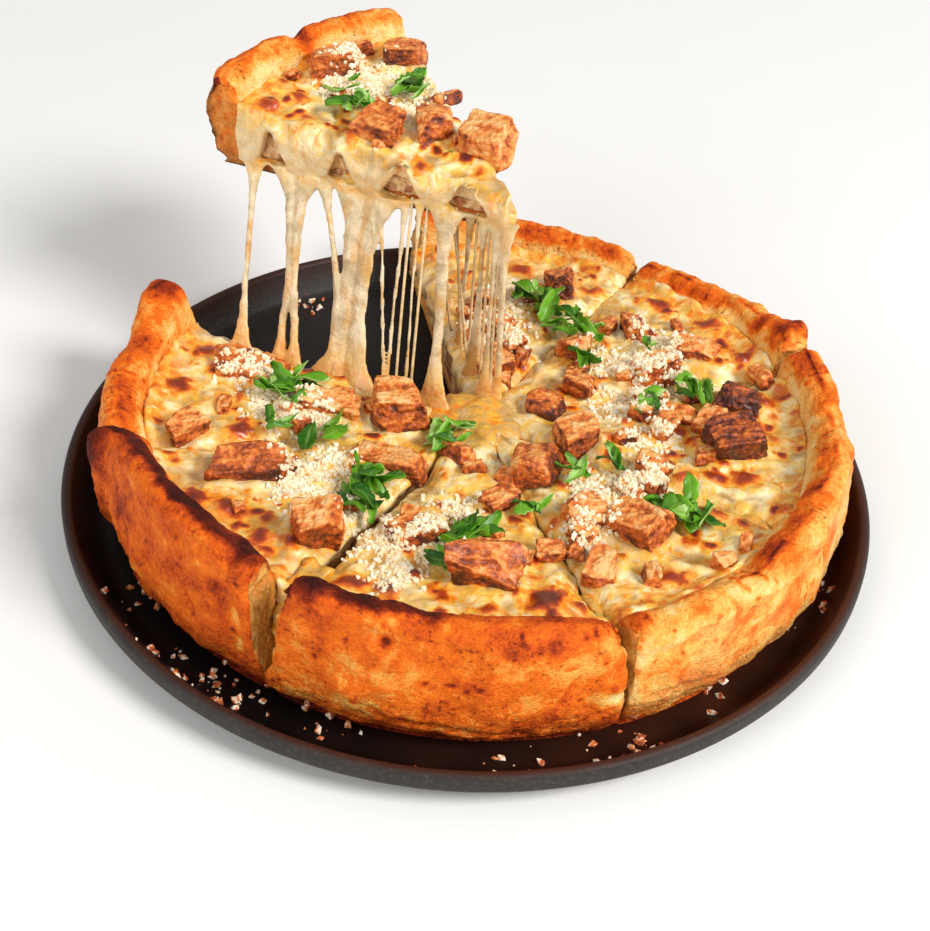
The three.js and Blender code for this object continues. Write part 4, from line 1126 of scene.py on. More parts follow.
def crust_body(cut):
    """A baked crust: its points, quads and marks, in millimetres."""
    low, rise, thick, wide = 8, 78, 6, 158
    cells, quads = box_skin(low + rise, thick, wide)
    plain = np.linspace(0, 1, wide + 1)
    shares = lerp(plain, plain * plain * (3 - 2 * plain), 0.35)
    outer, inside = crust_chains(cut, shares)
    steps = np.concatenate([np.linspace(0, 1, low + 1)[:-1], np.linspace(1, 9, rise + 1)])
    weights = spline_weights(10, steps)
    outer = np.einsum("sk,kcu->usc", weights, outer)
    inside = np.einsum("sk,kcu->usc", weights, inside)
    s, t, u = cells.T
    section = lerp(outer[u, s], inside[u, s], (t / thick)[:, None])
    r, z = section[:, 0], section[:, 1]
    share = shares[u]
    arc = np.minimum(share, 1 - share) * math.radians(cut.end - cut.start) * 120
    on_wall = smooth_step(105, 116, r / cut.scale)
    lean = (1 - clamp01(arc / 2.4)) ** 2 * on_wall
    r = r - lean * 1.1 * np.where(t == 0, 1, -0.6)
    z = z - lean * 1.5 * smooth_step(0.6, 1, s / (low + rise)) * on_wall
    points = cut.across(share, np.maximum(r, PIE["tip"]), z)
    # Two crusts nearly touch at the foot of their cut, and part towards the top.
    end = (1 - clamp01(arc / 10)) ** 2
    foot = np.where(share < 0.5, ENDS[cut.letter][0][0], ENDS[cut.letter][1][0])
    upper = np.where(share < 0.5, ENDS[cut.letter][0][1], ENDS[cut.letter][1][1])
    reach = lerp(foot, upper, smooth_step(8, 26, z)) * (1 - smooth_step(26, 46, z))
    gape = (1.3 * smooth_step(26, 46, z) - reach) * on_wall * end
    sign = np.where(share < 0.5, 1, -1)
    angle = cut.direction(share, r)
    points = points + (gape * sign)[:, None] * np.stack([-np.sin(angle), np.cos(angle), 0 * z], 1)
    quads = outwards(points, quads)
    normal = normals_of(points, quads)
    bearing = np.degrees(angle)
    around = np.stack([np.radians(bearing) * WALL_RADIUS, r, z], 1)
    seed = int(cut.start) + 400

    def waves(size, extra):
        return noise(around, size, seed + extra)

    crest = cut.crest_height(share)
    wall = on_wall * smooth_step(1.5, 6, z)
    outside = ((t == 0) & (r > PIE["foot"] * cut.scale * 0.98)).astype(float)
    lower = smooth_step(24, 8, z) * outside
    dough = 0.8 * waves((20, 18, 13), 0) + 0.45 * waves((8, 8, 6), 1)
    dough += 0.22 * waves((3.4, 3.4, 3), 12)
    folds = waves((9, 6, 2.2), 2) + 0.6 * waves((4, 4, 1.5), 11)
    folds = folds * (0.12 + 0.32 * lower + 0.14 * clamp01(waves(24, 3)))
    pores = 0.14 * waves(1.5, 4)
    cracks = bell(waves((9, 7, 5), 5), 0, 0.05)
    cracks = -0.5 * cracks * smooth_step(0.1, 0.6, waves(17, 6))
    push = (dough + folds + cracks) * wall + pores * on_wall
    faced = ((u == 0) | (u == wide)) & (t > 0) & (t < thick)
    push += faced * on_wall * (1.4 * waves(5, 22) + 0.7 * noise(around, 2.6, 23))
    high = smooth_step(crest - 14, crest - 5, z) * on_wall
    push += 0.7 * waves((6, 6, 5), 13) * ROUGH.get(cut.letter, 0.3) * high
    dark = np.zeros_like(z)
    for at, height, half, tall, out, burn in CRUST_MARKS[cut.letter]:
        warp = 1 + 0.3 * waves(2.2, 14)
        mark = np.exp(-(((bearing - at) / half) ** 2 + ((z - height) / tall) ** 2) * warp) * outside
        push += out * mark
        dark += burn * mark
    for depth, line in CREASES[cut.letter]:
        line = [(math.radians(a) * WALL_RADIUS, h) for a, h in line]
        off, along = from_line(around[:, 0], z + 0.8 * waves(5, 15), line)
        fade = np.sin(math.pi * clamp01(along)) ** 0.6 * outside
        push += fade * depth * (0.6 * bell(off, 2.2, 1.4) - bell(off, 0, 0.8))
        # Painted shade: the crust is darkened along each crease's groove.
        dark += 0.1 * fade * bell(off, 0, 0.9)
    rng = np.random.default_rng(seed)
    for _ in range(PIMPLES):
        at, height = rng.uniform(cut.start, cut.end), rng.uniform(14, 50)
        size, strength = rng.uniform(0.5, 1.6), rng.uniform(0.2, 1)
        spot = clamp01(1 - (((bearing - at) * 2.2) ** 2 + (z - height) ** 2) / size**2) * wall
        push += 0.4 * strength * spot * (1 if size > 1 else -1)
        dark += 0.3 * strength * spot
    points = points + normal * push[:, None]
    top = PIE["crest"] * cut.scale + cut.crest_out(share)
    lip = np.hypot(r - top + 6.2, z - crest + 1.4) + 2.2 * waves((7, 8, 6), 7)
    lip += 1.0 * waves((2.4, 3, 2.4), 16)
    bake = BAKE[cut.letter] + 0.11 * waves((22, 22, 12), 8)
    bake += 0.1 * waves((7, 7, 5), 21) * wall
    # Painted shade: the outer wall darkens towards its foot.
    bake += 0.13 * smooth_step(12, 2, z) * outside + dark
    for at, half, burn, spread in BURNS[cut.letter]:
        near = smooth_step(spread + 2.5, spread - 2.5, lip)
        bake += burn * bell(share, at, half) * near * on_wall
    groove = bell(r - top + 3.2 + waves(9, 18), 0, 0.9) * smooth_step(crest - 3, crest - 1, z)
    groove = groove * smooth_step(-0.2, 0.4, waves(14, 19)) * on_wall
    bake += (0.3 if cut.letter in "cde" else 0.12) * groove
    inner_side = (1 - outside) * smooth_step(crest - 1, crest - 6, z) * on_wall
    bake -= 0.2 * inner_side
    if cut.lifted:
        edge = r - top + 0.6 * noise(around, 6, 7)
        bake = bake - 0.06 + 0.22 * smooth_step(-3, 0, edge) * on_wall
        bake += 0.36 * smooth_step(0.8, 3, edge) * smooth_step(crest - 9, crest - 3, z)
    bake += 0.2 * smooth_step(2.4, 0.8, z)
    ragged = smooth_step(-0.5, 0.3, waves(4, 17) + 0.4)
    cut_mark = np.where(faced, ragged, 0.0) * smooth_step(crest - 1, crest - 6, z)
    if cut.lifted:
        rind = smooth_step(0.5, 0.05, t / thick + 0.3 * waves(5, 20))
        face = (share > 0.985) * 1.0
        bake = lerp(bake, 0.36 + 0.45 * rind + 0.2 * smooth_step(7, 2, z), face)
    pale = PALE[cut.letter] * outside * smooth_step(-0.5, 0.5, waves((26, 20, 12), 9))
    pale = pale * smooth_step(crest - 3, crest - 9, z) * smooth_step(5, 13, z)
    marks = {
        "bake": clamp01(bake), "cut": cut_mark * (0.5 if cut.lifted else 1.0),
        "pale": clamp01(pale), "leather": clamp01(lower + 0.25),
    }
    return cut.world(points), quads, marks


# How knobbly the crest of a crust is, where it isn't plain.
ROUGH = {"a": 0.6, "c": 0.6, "d": 0.8, "e": 1.1, "f": 0.7, "lifted": 0.25}


def build_crusts(context):
    for cut in ALL.values():
        points, quads, marks = crust_body(cut)
        crust = mesh_object(f"baked_crust_{cut.letter}", points, quads, marks)
        settle(crust, material("baked_dough", crust_finish), [f"crust_{cut.letter}"])


# ---- The filling ----


def build_fillings(context):
    for cut in ALL.values():
        cells, quads = box_skin(36, 60, 14)
        u, r, h = (cells / (36, 60, 14)).T
        radius = lerp(PIE["tip"] + 0.4, cut.inner - 0.7, r)
        top = cut.cheese_top(clamp01(u), radius) - PIE["cheese"] - 0.6
        z = lerp(PIE["under"] + 0.3, top, h)
        points = cut.across(lerp(0.006, 0.994, u), radius, z)
        quads = outwards(points, quads)
        normal = normals_of(points, quads)
        sides = ((u == 0) | (u == 1)) & (h > 0)
        seed = 700 + int(cut.start)
        lumps = 1.1 * noise(points, 7, seed) + 0.6 * noise(points, 3.2, seed + 1) + 0.35
        push = np.where(sides, lumps * smooth_step(6, 14, radius), 0)
        points = points + normal * push[:, None]
        filling = mesh_object(f"soft_filling_{cut.letter}", cut.world(points), quads)
        name = f"filling_{cut.letter}"
        settle(filling, material("curd_and_meat", filling_finish), [name])


# ---- The cheese ----


def blisters_of(cut):
    """The named blisters of a slice, and a scatter of small ones: x, y, size, darkness."""
    rng = np.random.default_rng(900 + int(cut.start))
    found = list(BLISTERS[cut.letter])
    for _ in range(SMALL_BLISTERS):
        r = cut.inner * math.sqrt(rng.uniform(0.05, 0.98))
        a = rng.uniform(cut.start + 3, cut.end - 3)
        found.append((r, a, rng.uniform(0.9, 2.9), rng.uniform(0.1, 0.85)))
    return [(*polar(r, a), size, dark) for r, a, size, dark in found]


def cheese_relief(cut, points):
    """How far the cheese rises at points of the slice's own frame, and its marks there."""
    x, y = points[:, 0], points[:, 1]
    flat = np.stack([x, y, 0 * x], 1)
    seed = 500 + int(cut.start)

    def waves(size, extra):
        return noise(flat, size, seed + extra)

    bend = 2.2 * np.stack([waves(7, 20), waves(7, 21), 0 * x], 1)
    mounds = 1 - 2 * np.abs(noise(flat + bend, 10, seed + 22))
    rise = 1.0 * layered(flat, 9, seed) - 0.6 * mounds
    rise += 0.26 * waves(3.4, 4) + 0.1 * waves(1.6, 24)
    # Painted shade: the deep mark darkens the dips of the relief.
    deep = smooth_step(0.05, -0.9, rise)
    brown, toast = np.zeros_like(x), np.zeros_like(x)
    warp = 1 + 0.36 * waves(3.4, 5) + 0.2 * waves(1.4, 25)
    for k, (bx, by, size, dark) in enumerate(blisters_of(cut)):
        along, beside = turned(x - bx, y - by, -k * 2.4)
        d = np.hypot(along * 0.78, beside * 1.2) / size * warp
        dome = clamp01(1 - d * d)
        rise += (0.22 + 0.16 * size) * dome**1.2
        brown = np.maximum(brown, dark * 1.25 * smooth_step(1.15, 0.2, d))
        toast = np.maximum(toast, dark**0.3 * smooth_step(2.0, 0.9, d))
        deep = deep * (1 - dome)
    for radius, degrees, length, width, _, turn in CHICKEN[cut.letter]:
        cx, cy = polar(radius, degrees)
        along, beside = turned(x - cx, y - cy, -math.radians(turn))
        along, beside = np.abs(along) - length / 2, np.abs(beside) - width / 2
        gap = np.hypot(np.maximum(along, 0), np.maximum(beside, 0))
        near = np.exp(-((gap / 2.6) ** 2))
        rise += 1.7 * near
        # Painted shade right beside each piece of chicken.
        deep = np.maximum(deep * (1 - near), 0.7 * np.exp(-((gap / 1.2) ** 2)))
    r = np.hypot(x, y)
    rim = smooth_step(cut.inner - 16, cut.inner - 1, r + 5 * waves(9, 6))
    toast = np.maximum(toast, 0.9 * rim * smooth_step(-0.6, 0.25, waves(6, 7)))
    brown = np.maximum(brown, 0.34 * rim * smooth_step(0.15, 0.6, waves(4.5, 26)))
    spots = smooth_step(0.12, 0.6, waves(9, 8)) * 0.6
    toast = np.maximum(toast, spots)
    middle = smooth_step(26, 8, r)
    toast = np.maximum(toast, 0.6 * middle * smooth_step(-0.4, 0.5, waves(6, 27)))
    # Painted shade over the middle, where the slices meet.
    deep = np.maximum(deep, 0.9 * middle)
    return rise, {"brown": clamp01(brown), "toast": clamp01(toast), "deep": clamp01(deep)}


def joint_at(radii, degrees):
    """How far two cheeses are parted along the cut at a direction, from 0, fused, to 1."""
    line = np.stack([radii, 0 * radii, 0 * radii], 1)
    return smooth_step(-0.5, 0.55, layered(line, 15, 300 + round(degrees / 3)))


def cheese_skins(cut, columns, radii, drape):
    """The upper and the lower skin of a slice's cheese, with drapes down both cut faces."""
    hang = 12
    inner_columns = columns - 2 * hang
    plain = np.linspace(0, 1, inner_columns + 1)
    shares = lerp(plain, plain * plain * (3 - 2 * plain), 0.5)
    upper = np.zeros((columns + 1, len(radii), 3))
    lower = np.zeros_like(upper)
    parted = [joint_at(radii, cut.start), joint_at(radii, cut.end)]
    for k, u in enumerate(shares):
        z = cut.cheese_top(u, radii) + 1.6 * cut.edge_round(u)
        arc = min(u, 1 - u) * math.radians(cut.end - cut.start) * radii
        open_here = parted[int(u > 0.5)]
        wide = lerp(5.0, 9.0, open_here)
        z = z - lerp(1.0, 3.8, open_here) * (1 - clamp01(arc / wide)) ** 2
        upper[hang + k] = cut.across(u, radii, z)
        lower[hang + k] = cut.across(u, radii, cut.cheese_top(u, radii) - PIE["cheese"])
    for last in (False, True):
        edge = 1.0 if last else 0.0
        start = upper[hang + inner_columns if last else hang][:, 2]
        base = cut.cheese_top(edge, radii)
        drop, out = drape(radii, last)
        for k in range(1, hang + 1):
            share = k / hang
            column = columns - hang + k if last else hang - k
            bow = out * math.sin(min(1, share * 1.9) * math.pi / 2) ** 0.8
            bow = bow * math.sqrt(max(0.0, 1 - max(0.0, share - 0.6) / 0.4 * 0.9))
            upper[column] = cut.beside(radii, bow, start - drop * share**1.2, last)
            z = np.maximum(start - drop * share, base - PIE["cheese"] + 0.6)
            depth = np.where(start - drop * share < base - PIE["cheese"], 0.05, -0.8)
            z = np.minimum(z, start - drop * share * 0.98)
            lower[column] = cut.beside(radii, depth, z, last)
    return upper, lower


def cheese_body(cut):
    columns, rows, layers = 140, 120, 2
    cells, quads = box_skin(columns, rows, layers)
    radii = np.linspace(1.6, cut.inner + 1.2, rows + 1)
    line = np.stack([radii, 0 * radii, 0 * radii], 1)

    def drape(radii, last):
        open_face = (cut.letter, last) in (("g", False), ("f", True))
        wave = layered(line, 12, 40 + int(cut.start) + last) + 0.3 * noise(line, 4, 60 + last)
        half_gap = lerp(CUT_CENTRE, CUT_RIM, clamp01(radii / PIE["crest"])) / 2
        if open_face:
            return np.clip(9 + 9 * wave, 2.5, 19), half_gap + 0.4 + 1.7 * clamp01(wave + 0.5)
        parted = joint_at(radii, cut.end if last else cut.start)
        return np.clip(6 + 3 * wave, 3, 10), half_gap * lerp(1.06, 0.7, parted)

    upper, lower = cheese_skins(cut, columns, radii, drape)
    c, r, h = cells.T
    points = lerp(lower[c, r], upper[c, r], (h / layers)[:, None])
    quads = outwards(points, quads)
    normal = normals_of(points, quads)
    rise, marks = cheese_relief(cut, points)
    facing = smooth_step(-0.1, 0.6, normal[:, 2])
    lumps = 0.55 * noise(points, 4.5, 31) + 0.25 * noise(points, 2, 32)
    sides = (1 - facing) * (h > 0)
    tip = smooth_step(1.5, 9, radii[r])
    points = points + normal * ((rise * facing * tip + lumps * sides) * (h > 0))[:, None]
    # The cheese creeps up the crust, higher in some places than in others.
    creep = smooth_step(cut.inner - 5, cut.inner + 1, radii[r]) * facing * (h == layers)
    points[:, 2] += creep * (2.6 + 1.6 * noise(points, 8, 33))
    marks["brown"] = marks["brown"] * facing
    marks["toast"] = marks["toast"] * (0.5 + 0.5 * facing)
    # Painted shade: faces that don't face up take half of the dip shade.
    marks["deep"] = np.maximum(marks["deep"] * facing, 0.5 * (1 - facing))
    # The side mark gives faces that don't face up the stretched cheese colour, partly painted
    # shade.
    marks["side"] = 0.3 * (1 - facing)
    return cut.world(points), quads, marks


def build_cut_fillers(finish):
    """Cheese that has run into the cuts between the crusts, and over the middle."""
    parts, marks = [], []
    order = [ALL[letter] for letter in "gabcdef"]
    for left, right in zip(order, order[1:]):
        first, second = left.end, right.start + (360 if left.end > 180 else 0)
        gap = math.radians(second - first) * (PIE["foot"] - 1) + CUT_RIM
        cells, quads = box_skin(24, 24, 8)
        a, b, c = (cells / (24, 24, 8)).T
        r = lerp(96, 119.5, a) - 4 * (1 - b) * (a > 0.99)
        middle = math.radians((first + second) / 2)
        level = left.cheese_top(1.0, np.minimum(r, 110))
        top = level + lerp(-1.2, -13.0, smooth_step(108, 119, r)) + (gap > 6) * 2.0
        z = lerp(PIE["under"], top, b)
        half = (gap / 2 - 0.5) * lerp(0.75, 1.0, b) * lerp(1.0, 0.8, a)
        side = (c * 2 - 1) * half
        points = np.stack([*turned(r, side, middle), z], 1)
        quads = outwards(points, quads)
        lumps = 1.5 * noise(points, 5, 90) + 0.7 * noise(points, 2.4, 91)
        points = points + normals_of(points, quads) * lumps[:, None]
        parts.append((points + PIE_AT, quads))
        marks.append(0.55 + 0.5 * noise(points, 5, 92))
    cells, quads = box_skin(32, 32, 8)
    ball = cells / (16, 16, 4) - 1
    ball = ball / np.linalg.norm(ball, axis=1)[:, None]
    points = ball * (17.0, 15.0, 4.0) + (-0.5, -2.0, 24.3)
    quads = outwards(points, quads)
    rough = 1.5 * noise(points, 7, 93) + 0.5 * noise(points, 3, 94)
    points = points + (ball * (1.8, 1.8, 0.8)) * rough[:, None]
    parts.append((points + PIE_AT, quads))
    marks.append(0.4 + 0.9 * noise(points, 5, 95))
    points, quads = joined(parts)
    toast = clamp01(np.concatenate(marks))
    # Painted shade: the cheese in the cuts and over the middle takes the full dip shade.
    marks = {"toast": toast, "deep": 1.0 + 0 * toast, "side": 0 * toast, "brown": 0 * toast}
    fillers = mesh_object("cheese_in_cuts", points, quads, marks)
    settle(fillers, finish)


def build_cheeses(context):
    finish = material("melted_cheese", cheese_finish)
    for cut in STANDING:
        points, quads, marks = cheese_body(cut)
        cheese = mesh_object(f"melted_cheese_{cut.letter}", points, quads, marks)
        settle(cheese, finish, [f"cheese_{cut.letter}"])
    build_cut_fillers(finish)


# ---- The lifted cheese and its strings ----


def skirt_bottom(r):
    return SKIRT_BOTTOM + sum(rise * bell(r, at, width) for at, width, rise in SKIRT_WINDOWS)


def draped_cheese(cut):
    """The lifted slice's cheese with its skirt over the near side, before it is softened."""
    columns, hang, rows = 60, 16, 90
    cells, quads = box_skin(columns + hang, rows, 2)
    radii = np.linspace(2.2, cut.inner + 0.8, rows + 1)
    upper = np.zeros((columns + hang + 1, rows + 1, 3))
    lower = np.zeros_like(upper)
    for k in range(columns + 1):
        u = k / columns
        z = cut.cheese_top(u, radii) + 1.2 * cut.edge_round(u) * (u > 0.5)
        upper[k] = cut.across(u, radii, z)
        lower[k] = cut.across(u, radii, cut.cheese_top(u, radii) - PIE["cheese"])
    top = cut.cheese_top(1.0, radii) + 1.2
    bottom = skirt_bottom(radii)
    line = np.stack([radii, 0 * radii, 0 * radii], 1)
    lump = 0.7 * noise(line, 9, 3) + 0.4 * noise(line, 4, 8)
    for k in range(1, hang + 1):
        share = k / hang
        out = 0.5 + SKIRT_OUT * math.sin(math.pi / 2 * min(1, share * 1.7)) + lump * share * 0.6
        upper[columns + k] = cut.beside(radii, out, lerp(top - 0.3, bottom, share), True)
        under = top - 1.2 - PIE["cheese"]
        lower[columns + k] = cut.beside(
            radii, 0.45 + 0 * radii, lerp(under, bottom - 0.4 * share, share), True
        )
    c, r, h = cells.T
    points = lerp(lower[c, r], upper[c, r], (h / 2)[:, None])
    return cut.world(points), outwards(points, quads)


def tube(centres, wide, deep, widths, depths, sides=20):
    """A closed flattened tube along centres: its points and quads."""
    turns = np.radians(np.arange(sides) * 360 / sides)
    rings = [
        c + w / 2 * np.cos(turns)[:, None] * wide + d / 2 * np.sin(turns)[:, None] * deep
        for c, w, d in zip(centres, widths, depths)
    ]
    start = centres[0] + (centres[0] - centres[1]) * 0.02
    rings = [np.repeat(start[None], sides, 0)] + rings
    rings.append(np.repeat(centres[-1][None], sides, 0))
    points = np.concatenate(rings)
    quads = []
    for i in range(len(rings) - 1):
        a = np.arange(sides) + i * sides
        b = (np.arange(sides) + 1) % sides + i * sides
        quads.append(np.stack([a, b, b + sides, a + sides], 1))
    quads = np.concatenate(quads)
    return points, outwards(points, quads)


# Along and across the lifted slice's near side, where the strings hang.
COS, SIN = polar(1, ALL["lifted"].end)
STRING_AXES = np.array([(COS, SIN, 0), (-SIN, COS, 0)])


def string_path(start_along, foot, drift, samples=70):
    """The middle of a string from the skirt down to the pie, in millimetres."""
    lifted = ALL["lifted"]
    start = lifted.world(lifted.beside(np.array([start_along]), 2.0, 5.5, True))[0]
    radius, degrees = foot
    below = ALL["g"] if degrees > 130 else ALL["f"]
    height = below.surface(radius, degrees) - 1.5
    end = np.array([*polar(radius, degrees), height]) + PIE_AT
    t = np.linspace(0, 1, samples)
    bow = STRING_AXES[0] * (drift * np.sin(math.pi * t))[:, None]
    return t, start + (end - start) * t[:, None] - bow


def string_bodies(string, seed):
    """One string as a closed tube, or two where it parts round an opening."""
    along, foot, widths, thick, drift, *opening = string
    wide, deep = STRING_AXES
    t, centres = string_path(along, foot, drift)
    length = np.linalg.norm(centres[-1] - centres[0])
    step = np.minimum(3.999, 4 * t**0.8)
    width = np.interp(step, range(5), widths)
    kernel = np.ones(9) / 9
    width = np.convolve(np.pad(width, 4, "edge"), kernel, "valid")
    flare = 1 + 1.1 * np.exp(-t * length / 5) + 0.7 * np.exp(-(1 - t) * length / 4)
    depth = thick * (1 + 0.6 * np.exp(-t * length / 4) + 0.9 * np.exp(-(1 - t) * length / 3.5))
    sway = np.stack([t * length, 0 * t, 0 * t], 1)
    uneven = 1 + 0.14 * noise(sway, 9, seed) + 0.06 * noise(sway, 3, seed + 3)
    width = width * uneven * flare + 0.2
    depth = depth * (1 + 0.14 * noise(sway, 12, seed + 1)) + 0.15
    centres = centres + wide * (0.35 * noise(sway, 22, seed + 2) * np.sin(math.pi * t))[:, None]
    if not opening:
        return [tube(centres, wide, deep, width, depth)]
    at, half, open_width = opening[0]
    hole = open_width * clamp01(1 - ((t - at) / half) ** 2) ** 0.6
    bodies = []
    for side in (-1, 1):
        shift = side * (width + hole) / 4
        strand = (width + 0.8 - hole * 0.5) / 2 + 0.3
        bodies.append(tube(centres + wide * shift[:, None], wide, deep, strand, depth))
    return bodies


def drip(cut):
    """The thick drip over the point of the lifted slice."""
    t = np.linspace(0, 1, 24)
    r = lerp(7.5, 3.2, np.minimum(1, t * 1.8))
    z = lerp(cut.cheese_top(0.6, 7.5) - 2.5, 3.0, t)
    centres = cut.world(cut.across(0.75, r, z))
    width = lerp(9.0, 5.0, t)
    return tube(centres, *STRING_AXES, width, width * 0.8)


def build_lifted_cheese(context):
    look = context.scene.pizza_cheese
    cut = ALL["lifted"]
    parts = [draped_cheese(cut), drip(cut)]
    for k, string in enumerate(STRINGS):
        parts += string_bodies(string, 60 + 5 * k)
    points, quads = joined(parts)
    cheese = mesh_object("melted_cheese_lifted", points, quads)
    remesh = cheese.modifiers.new("union", "REMESH")
    remesh.mode = "VOXEL"
    remesh.voxel_size = look.string_detail
    remesh.use_smooth_shade = True
    soften = cheese.modifiers.new("soften", "SMOOTH")
    soften.factor, soften.iterations = 0.5, 5
    make_plain(cheese)
    mesh = cheese.data
    world, normal = corners_and_normals(mesh)
    local = cut.local(world)
    rise, marks = cheese_relief(cut, local)
    on_slice = smooth_step(1, 4, local[:, 2])
    facing = smooth_step(-0.1, 0.6, normal[:, 2]) * on_slice
    lumps = 0.45 * noise(local, 4.2, 77) * (1 - facing) * smooth_step(0, 4, local[:, 2])
    below = smooth_step(4, -4, local[:, 2])
    ridges = 0.22 * noise(world, (2.2, 2.2, 16), 79) * below
    world = world + normal * (rise * facing + lumps + ridges)[:, None]
    mesh.vertices.foreach_set("co", (world * MM).ravel())
    yellow = smooth_step(0.1, 0.6, noise(world, (6, 6, 10), 88)) * lerp(0.35, 0.75, below)
    foot = smooth_step(48, 34, world[:, 2])
    skirt = (1 - facing) * on_slice
    toast = np.maximum(marks["toast"] * facing, np.maximum(yellow * 0.7, 0.85 * foot))
    toast = np.maximum(toast, 0.2 * skirt * smooth_step(0, 0.6, noise(world, 7, 90)))
    dots = np.zeros(len(world))
    for px, py, pz, size in SKIRT_BLISTERS:
        spot = np.linalg.norm(local - (px, py, pz), axis=1) / size
        dots = np.maximum(dots, 0.7 * clamp01(1.2 - spot * (1 + 0.3 * noise(local, 2.5, 89))))
    window = smooth_step(9, 3, local[:, 2]) * on_slice * smooth_step(-0.3, 0.5, noise(local, 5, 78))
    marks["brown"] = np.maximum(np.maximum(marks["brown"] * facing, dots), 0.14 * window)
    marks["toast"] = toast
    # The skirt and the strings take the stretched colour, partly painted shade.
    marks["side"] = clamp01(1 - facing) * lerp(0.65, 1.0, below) * (1 - 0.6 * foot)
    # The painted shade of the dips stays only on the upward faces.
    marks["deep"] = marks["deep"] * facing
    write_marks(mesh, marks)
    mesh.shade_smooth()
    finish = material("melted_cheese", cheese_finish)
    settle(cheese, finish, ["cheese_lifted"])

    points, edges, thickness = [], [], []
    for k, (along, foot, thick) in enumerate(THREADS):
        t, centres = string_path(along, foot, 0.3 * (k % 3 - 1), THREAD_POINTS)
        first = THREAD_POINTS * k
        edges += [(n, n + 1) for n in range(first, first + THREAD_POINTS - 1)]
        thickness.append(thick * (1 + 0.8 * np.exp(-t * 12) + 0.8 * np.exp(-(1 - t) * 12)))
        points.append(centres)
    points, thickness = np.concatenate(points), np.concatenate(thickness)
    threads = line_object("cheese_threads", points, edges, {"thickness": thickness})
    spun_tree().apply(threads, Thread_radius=0.5 * MM, Finish=finish)
    faced_outwards(threads.data)
    threads.data.shade_smooth()
    zero = np.zeros(len(threads.data.vertices))
    # The threads take the stretched colour, partly painted shade.
    marks = {"brown": zero, "toast": zero + 0.2, "side": zero + 0.9, "deep": zero}
    write_marks(threads.data, marks)
    settle(threads, finish)


def spun_tree():
    """Turns lines into round threads whose thickness follows a mark."""
    tree = NodeTree("spun_threads", Thread_radius=0.0005)
    given = tree.given
    line = tree.node("GeometryNodeMeshToCurve", {}, {"Mesh": given["Geometry"]})
    values = {"Resolution": 8, "Radius": given["Thread radius"]}
    ring = tree.node("GeometryNodeCurvePrimitiveCircle", {}, values)
    values = {"Curve": line, "Radius": tree.mark("thickness")}
    sized = tree.node("GeometryNodeSetCurveRadius", {}, values)
    values = {"Curve": sized, "Profile Curve": ring, "Fill Caps": True}
    return tree.end(tree.node("GeometryNodeCurveToMesh", {}, values))


THREAD_POINTS = 40
# Browned spots on the skirt of the lifted slice, in its own frame, and their size.
SKIRT_BLISTERS = [(-70.5, 39.5, 14, 3.4), (-6.0, 4.0, 10, 3.8), (-38.0, 23.0, 14, 3.4)]


# ---- Chicken ----


def torn_lump(size, seed, cells_long=24, ragged=1.0):
    """A cut and torn piece of roast meat about the origin: points, quads, and its marks."""
    rng = np.random.default_rng(seed)
    counts = [max(6, int(cells_long * s / max(size))) for s in size]
    cells, quads = box_skin(*counts)
    ball = cells / counts * 2 - 1
    ball = ball / np.linalg.norm(ball, axis=1)[:, None]
    # Each flat of the piece is a plane across the unit ball with its own tone: the six square flats
    # carry painted light and shade, the top lightest and the underside darkest, and the six
    # slanting flats a random roast.
    flats = np.concatenate([np.eye(3), -np.eye(3), rng.normal(size=(6, 3))])
    flats = flats + rng.normal(size=flats.shape) * 0.15
    flats = flats / np.linalg.norm(flats, axis=1)[:, None]
    reach = np.concatenate([rng.uniform(0.8, 0.96, 6), rng.uniform(1.0, 1.25, 6)])
    roast_and_shade_tones = np.concatenate([[0.45, 0.55, 0.26, 0.5, 0.64, 0.8], rng.uniform(0.2, 0.55, 6)])
    roast_and_shade_tones = roast_and_shade_tones + rng.uniform(-0.16, 0.14, 12)
    near = np.maximum(ball @ flats.T, 0.05) / reach
    sharp = near**24
    radius = 1 / sharp.sum(1) ** (1 / 24)
    shares = sharp**2 / (sharp**2).sum(1)[:, None]
    edge = smooth_step(0.75, 0.45, shares.max(1))
    roast = shares @ roast_and_shade_tones - 0.22 * edge
    points = ball * radius[:, None] * np.array(size) / 2 * 1.1
    normal = normals_of(points, outwards(points, quads))
    offset = points + (seed % 97) * 31.0
    unit = max(size) / 18
    bent = offset + 1.0 * noise(offset, 5, seed)[:, None]
    broad = noise(offset, 6.5 * unit, seed + 2)
    fibre = noise(bent, (11, 2.2, 2.2), seed + 1)
    tears = 1 - 2.2 * np.abs(noise(bent, (8, 3.6, 3.2), seed + 7))
    shreds = noise(offset, (3.4, 1.5, 1.4), seed + 3)
    grains = noise(offset, 1.4, seed + 6)
    pits = smooth_step(0.25, 0.7, noise(offset, 3.4 * unit**0.5, seed + 4))
    ends = shares[:, 0] + shares[:, 3]
    push = 0.6 * unit * broad + 0.34 * fibre - 0.12 * tears * unit + 0.14 * shreds + 0.16 * grains
    push = ragged * (push + ends * (0.2 * shreds + 0.3 * grains)) - 0.28 * unit * pits
    points = points + normal * push[:, None]
    # Painted shade: the lower half of the piece and its pits are made darker.
    low = clamp01(-points[:, 2] / size[2] * 2)
    roast = roast + 0.24 * noise(offset, 5 * unit, seed + 5) + 0.12 * pits + 0.34 * low
    marks = {
        "roast": clamp01(roast + 0.05 * tears + rng.uniform(-0.08, 0.08)),
        "fibre": clamp01(0.5 + 0.6 * fibre + 0.25 * shreds + 0.2 * grains - 0.3 * pits),
        "lengthwise": offset / (7.0, 1.6, 1.4),
    }
    return points, outwards(points, quads), marks


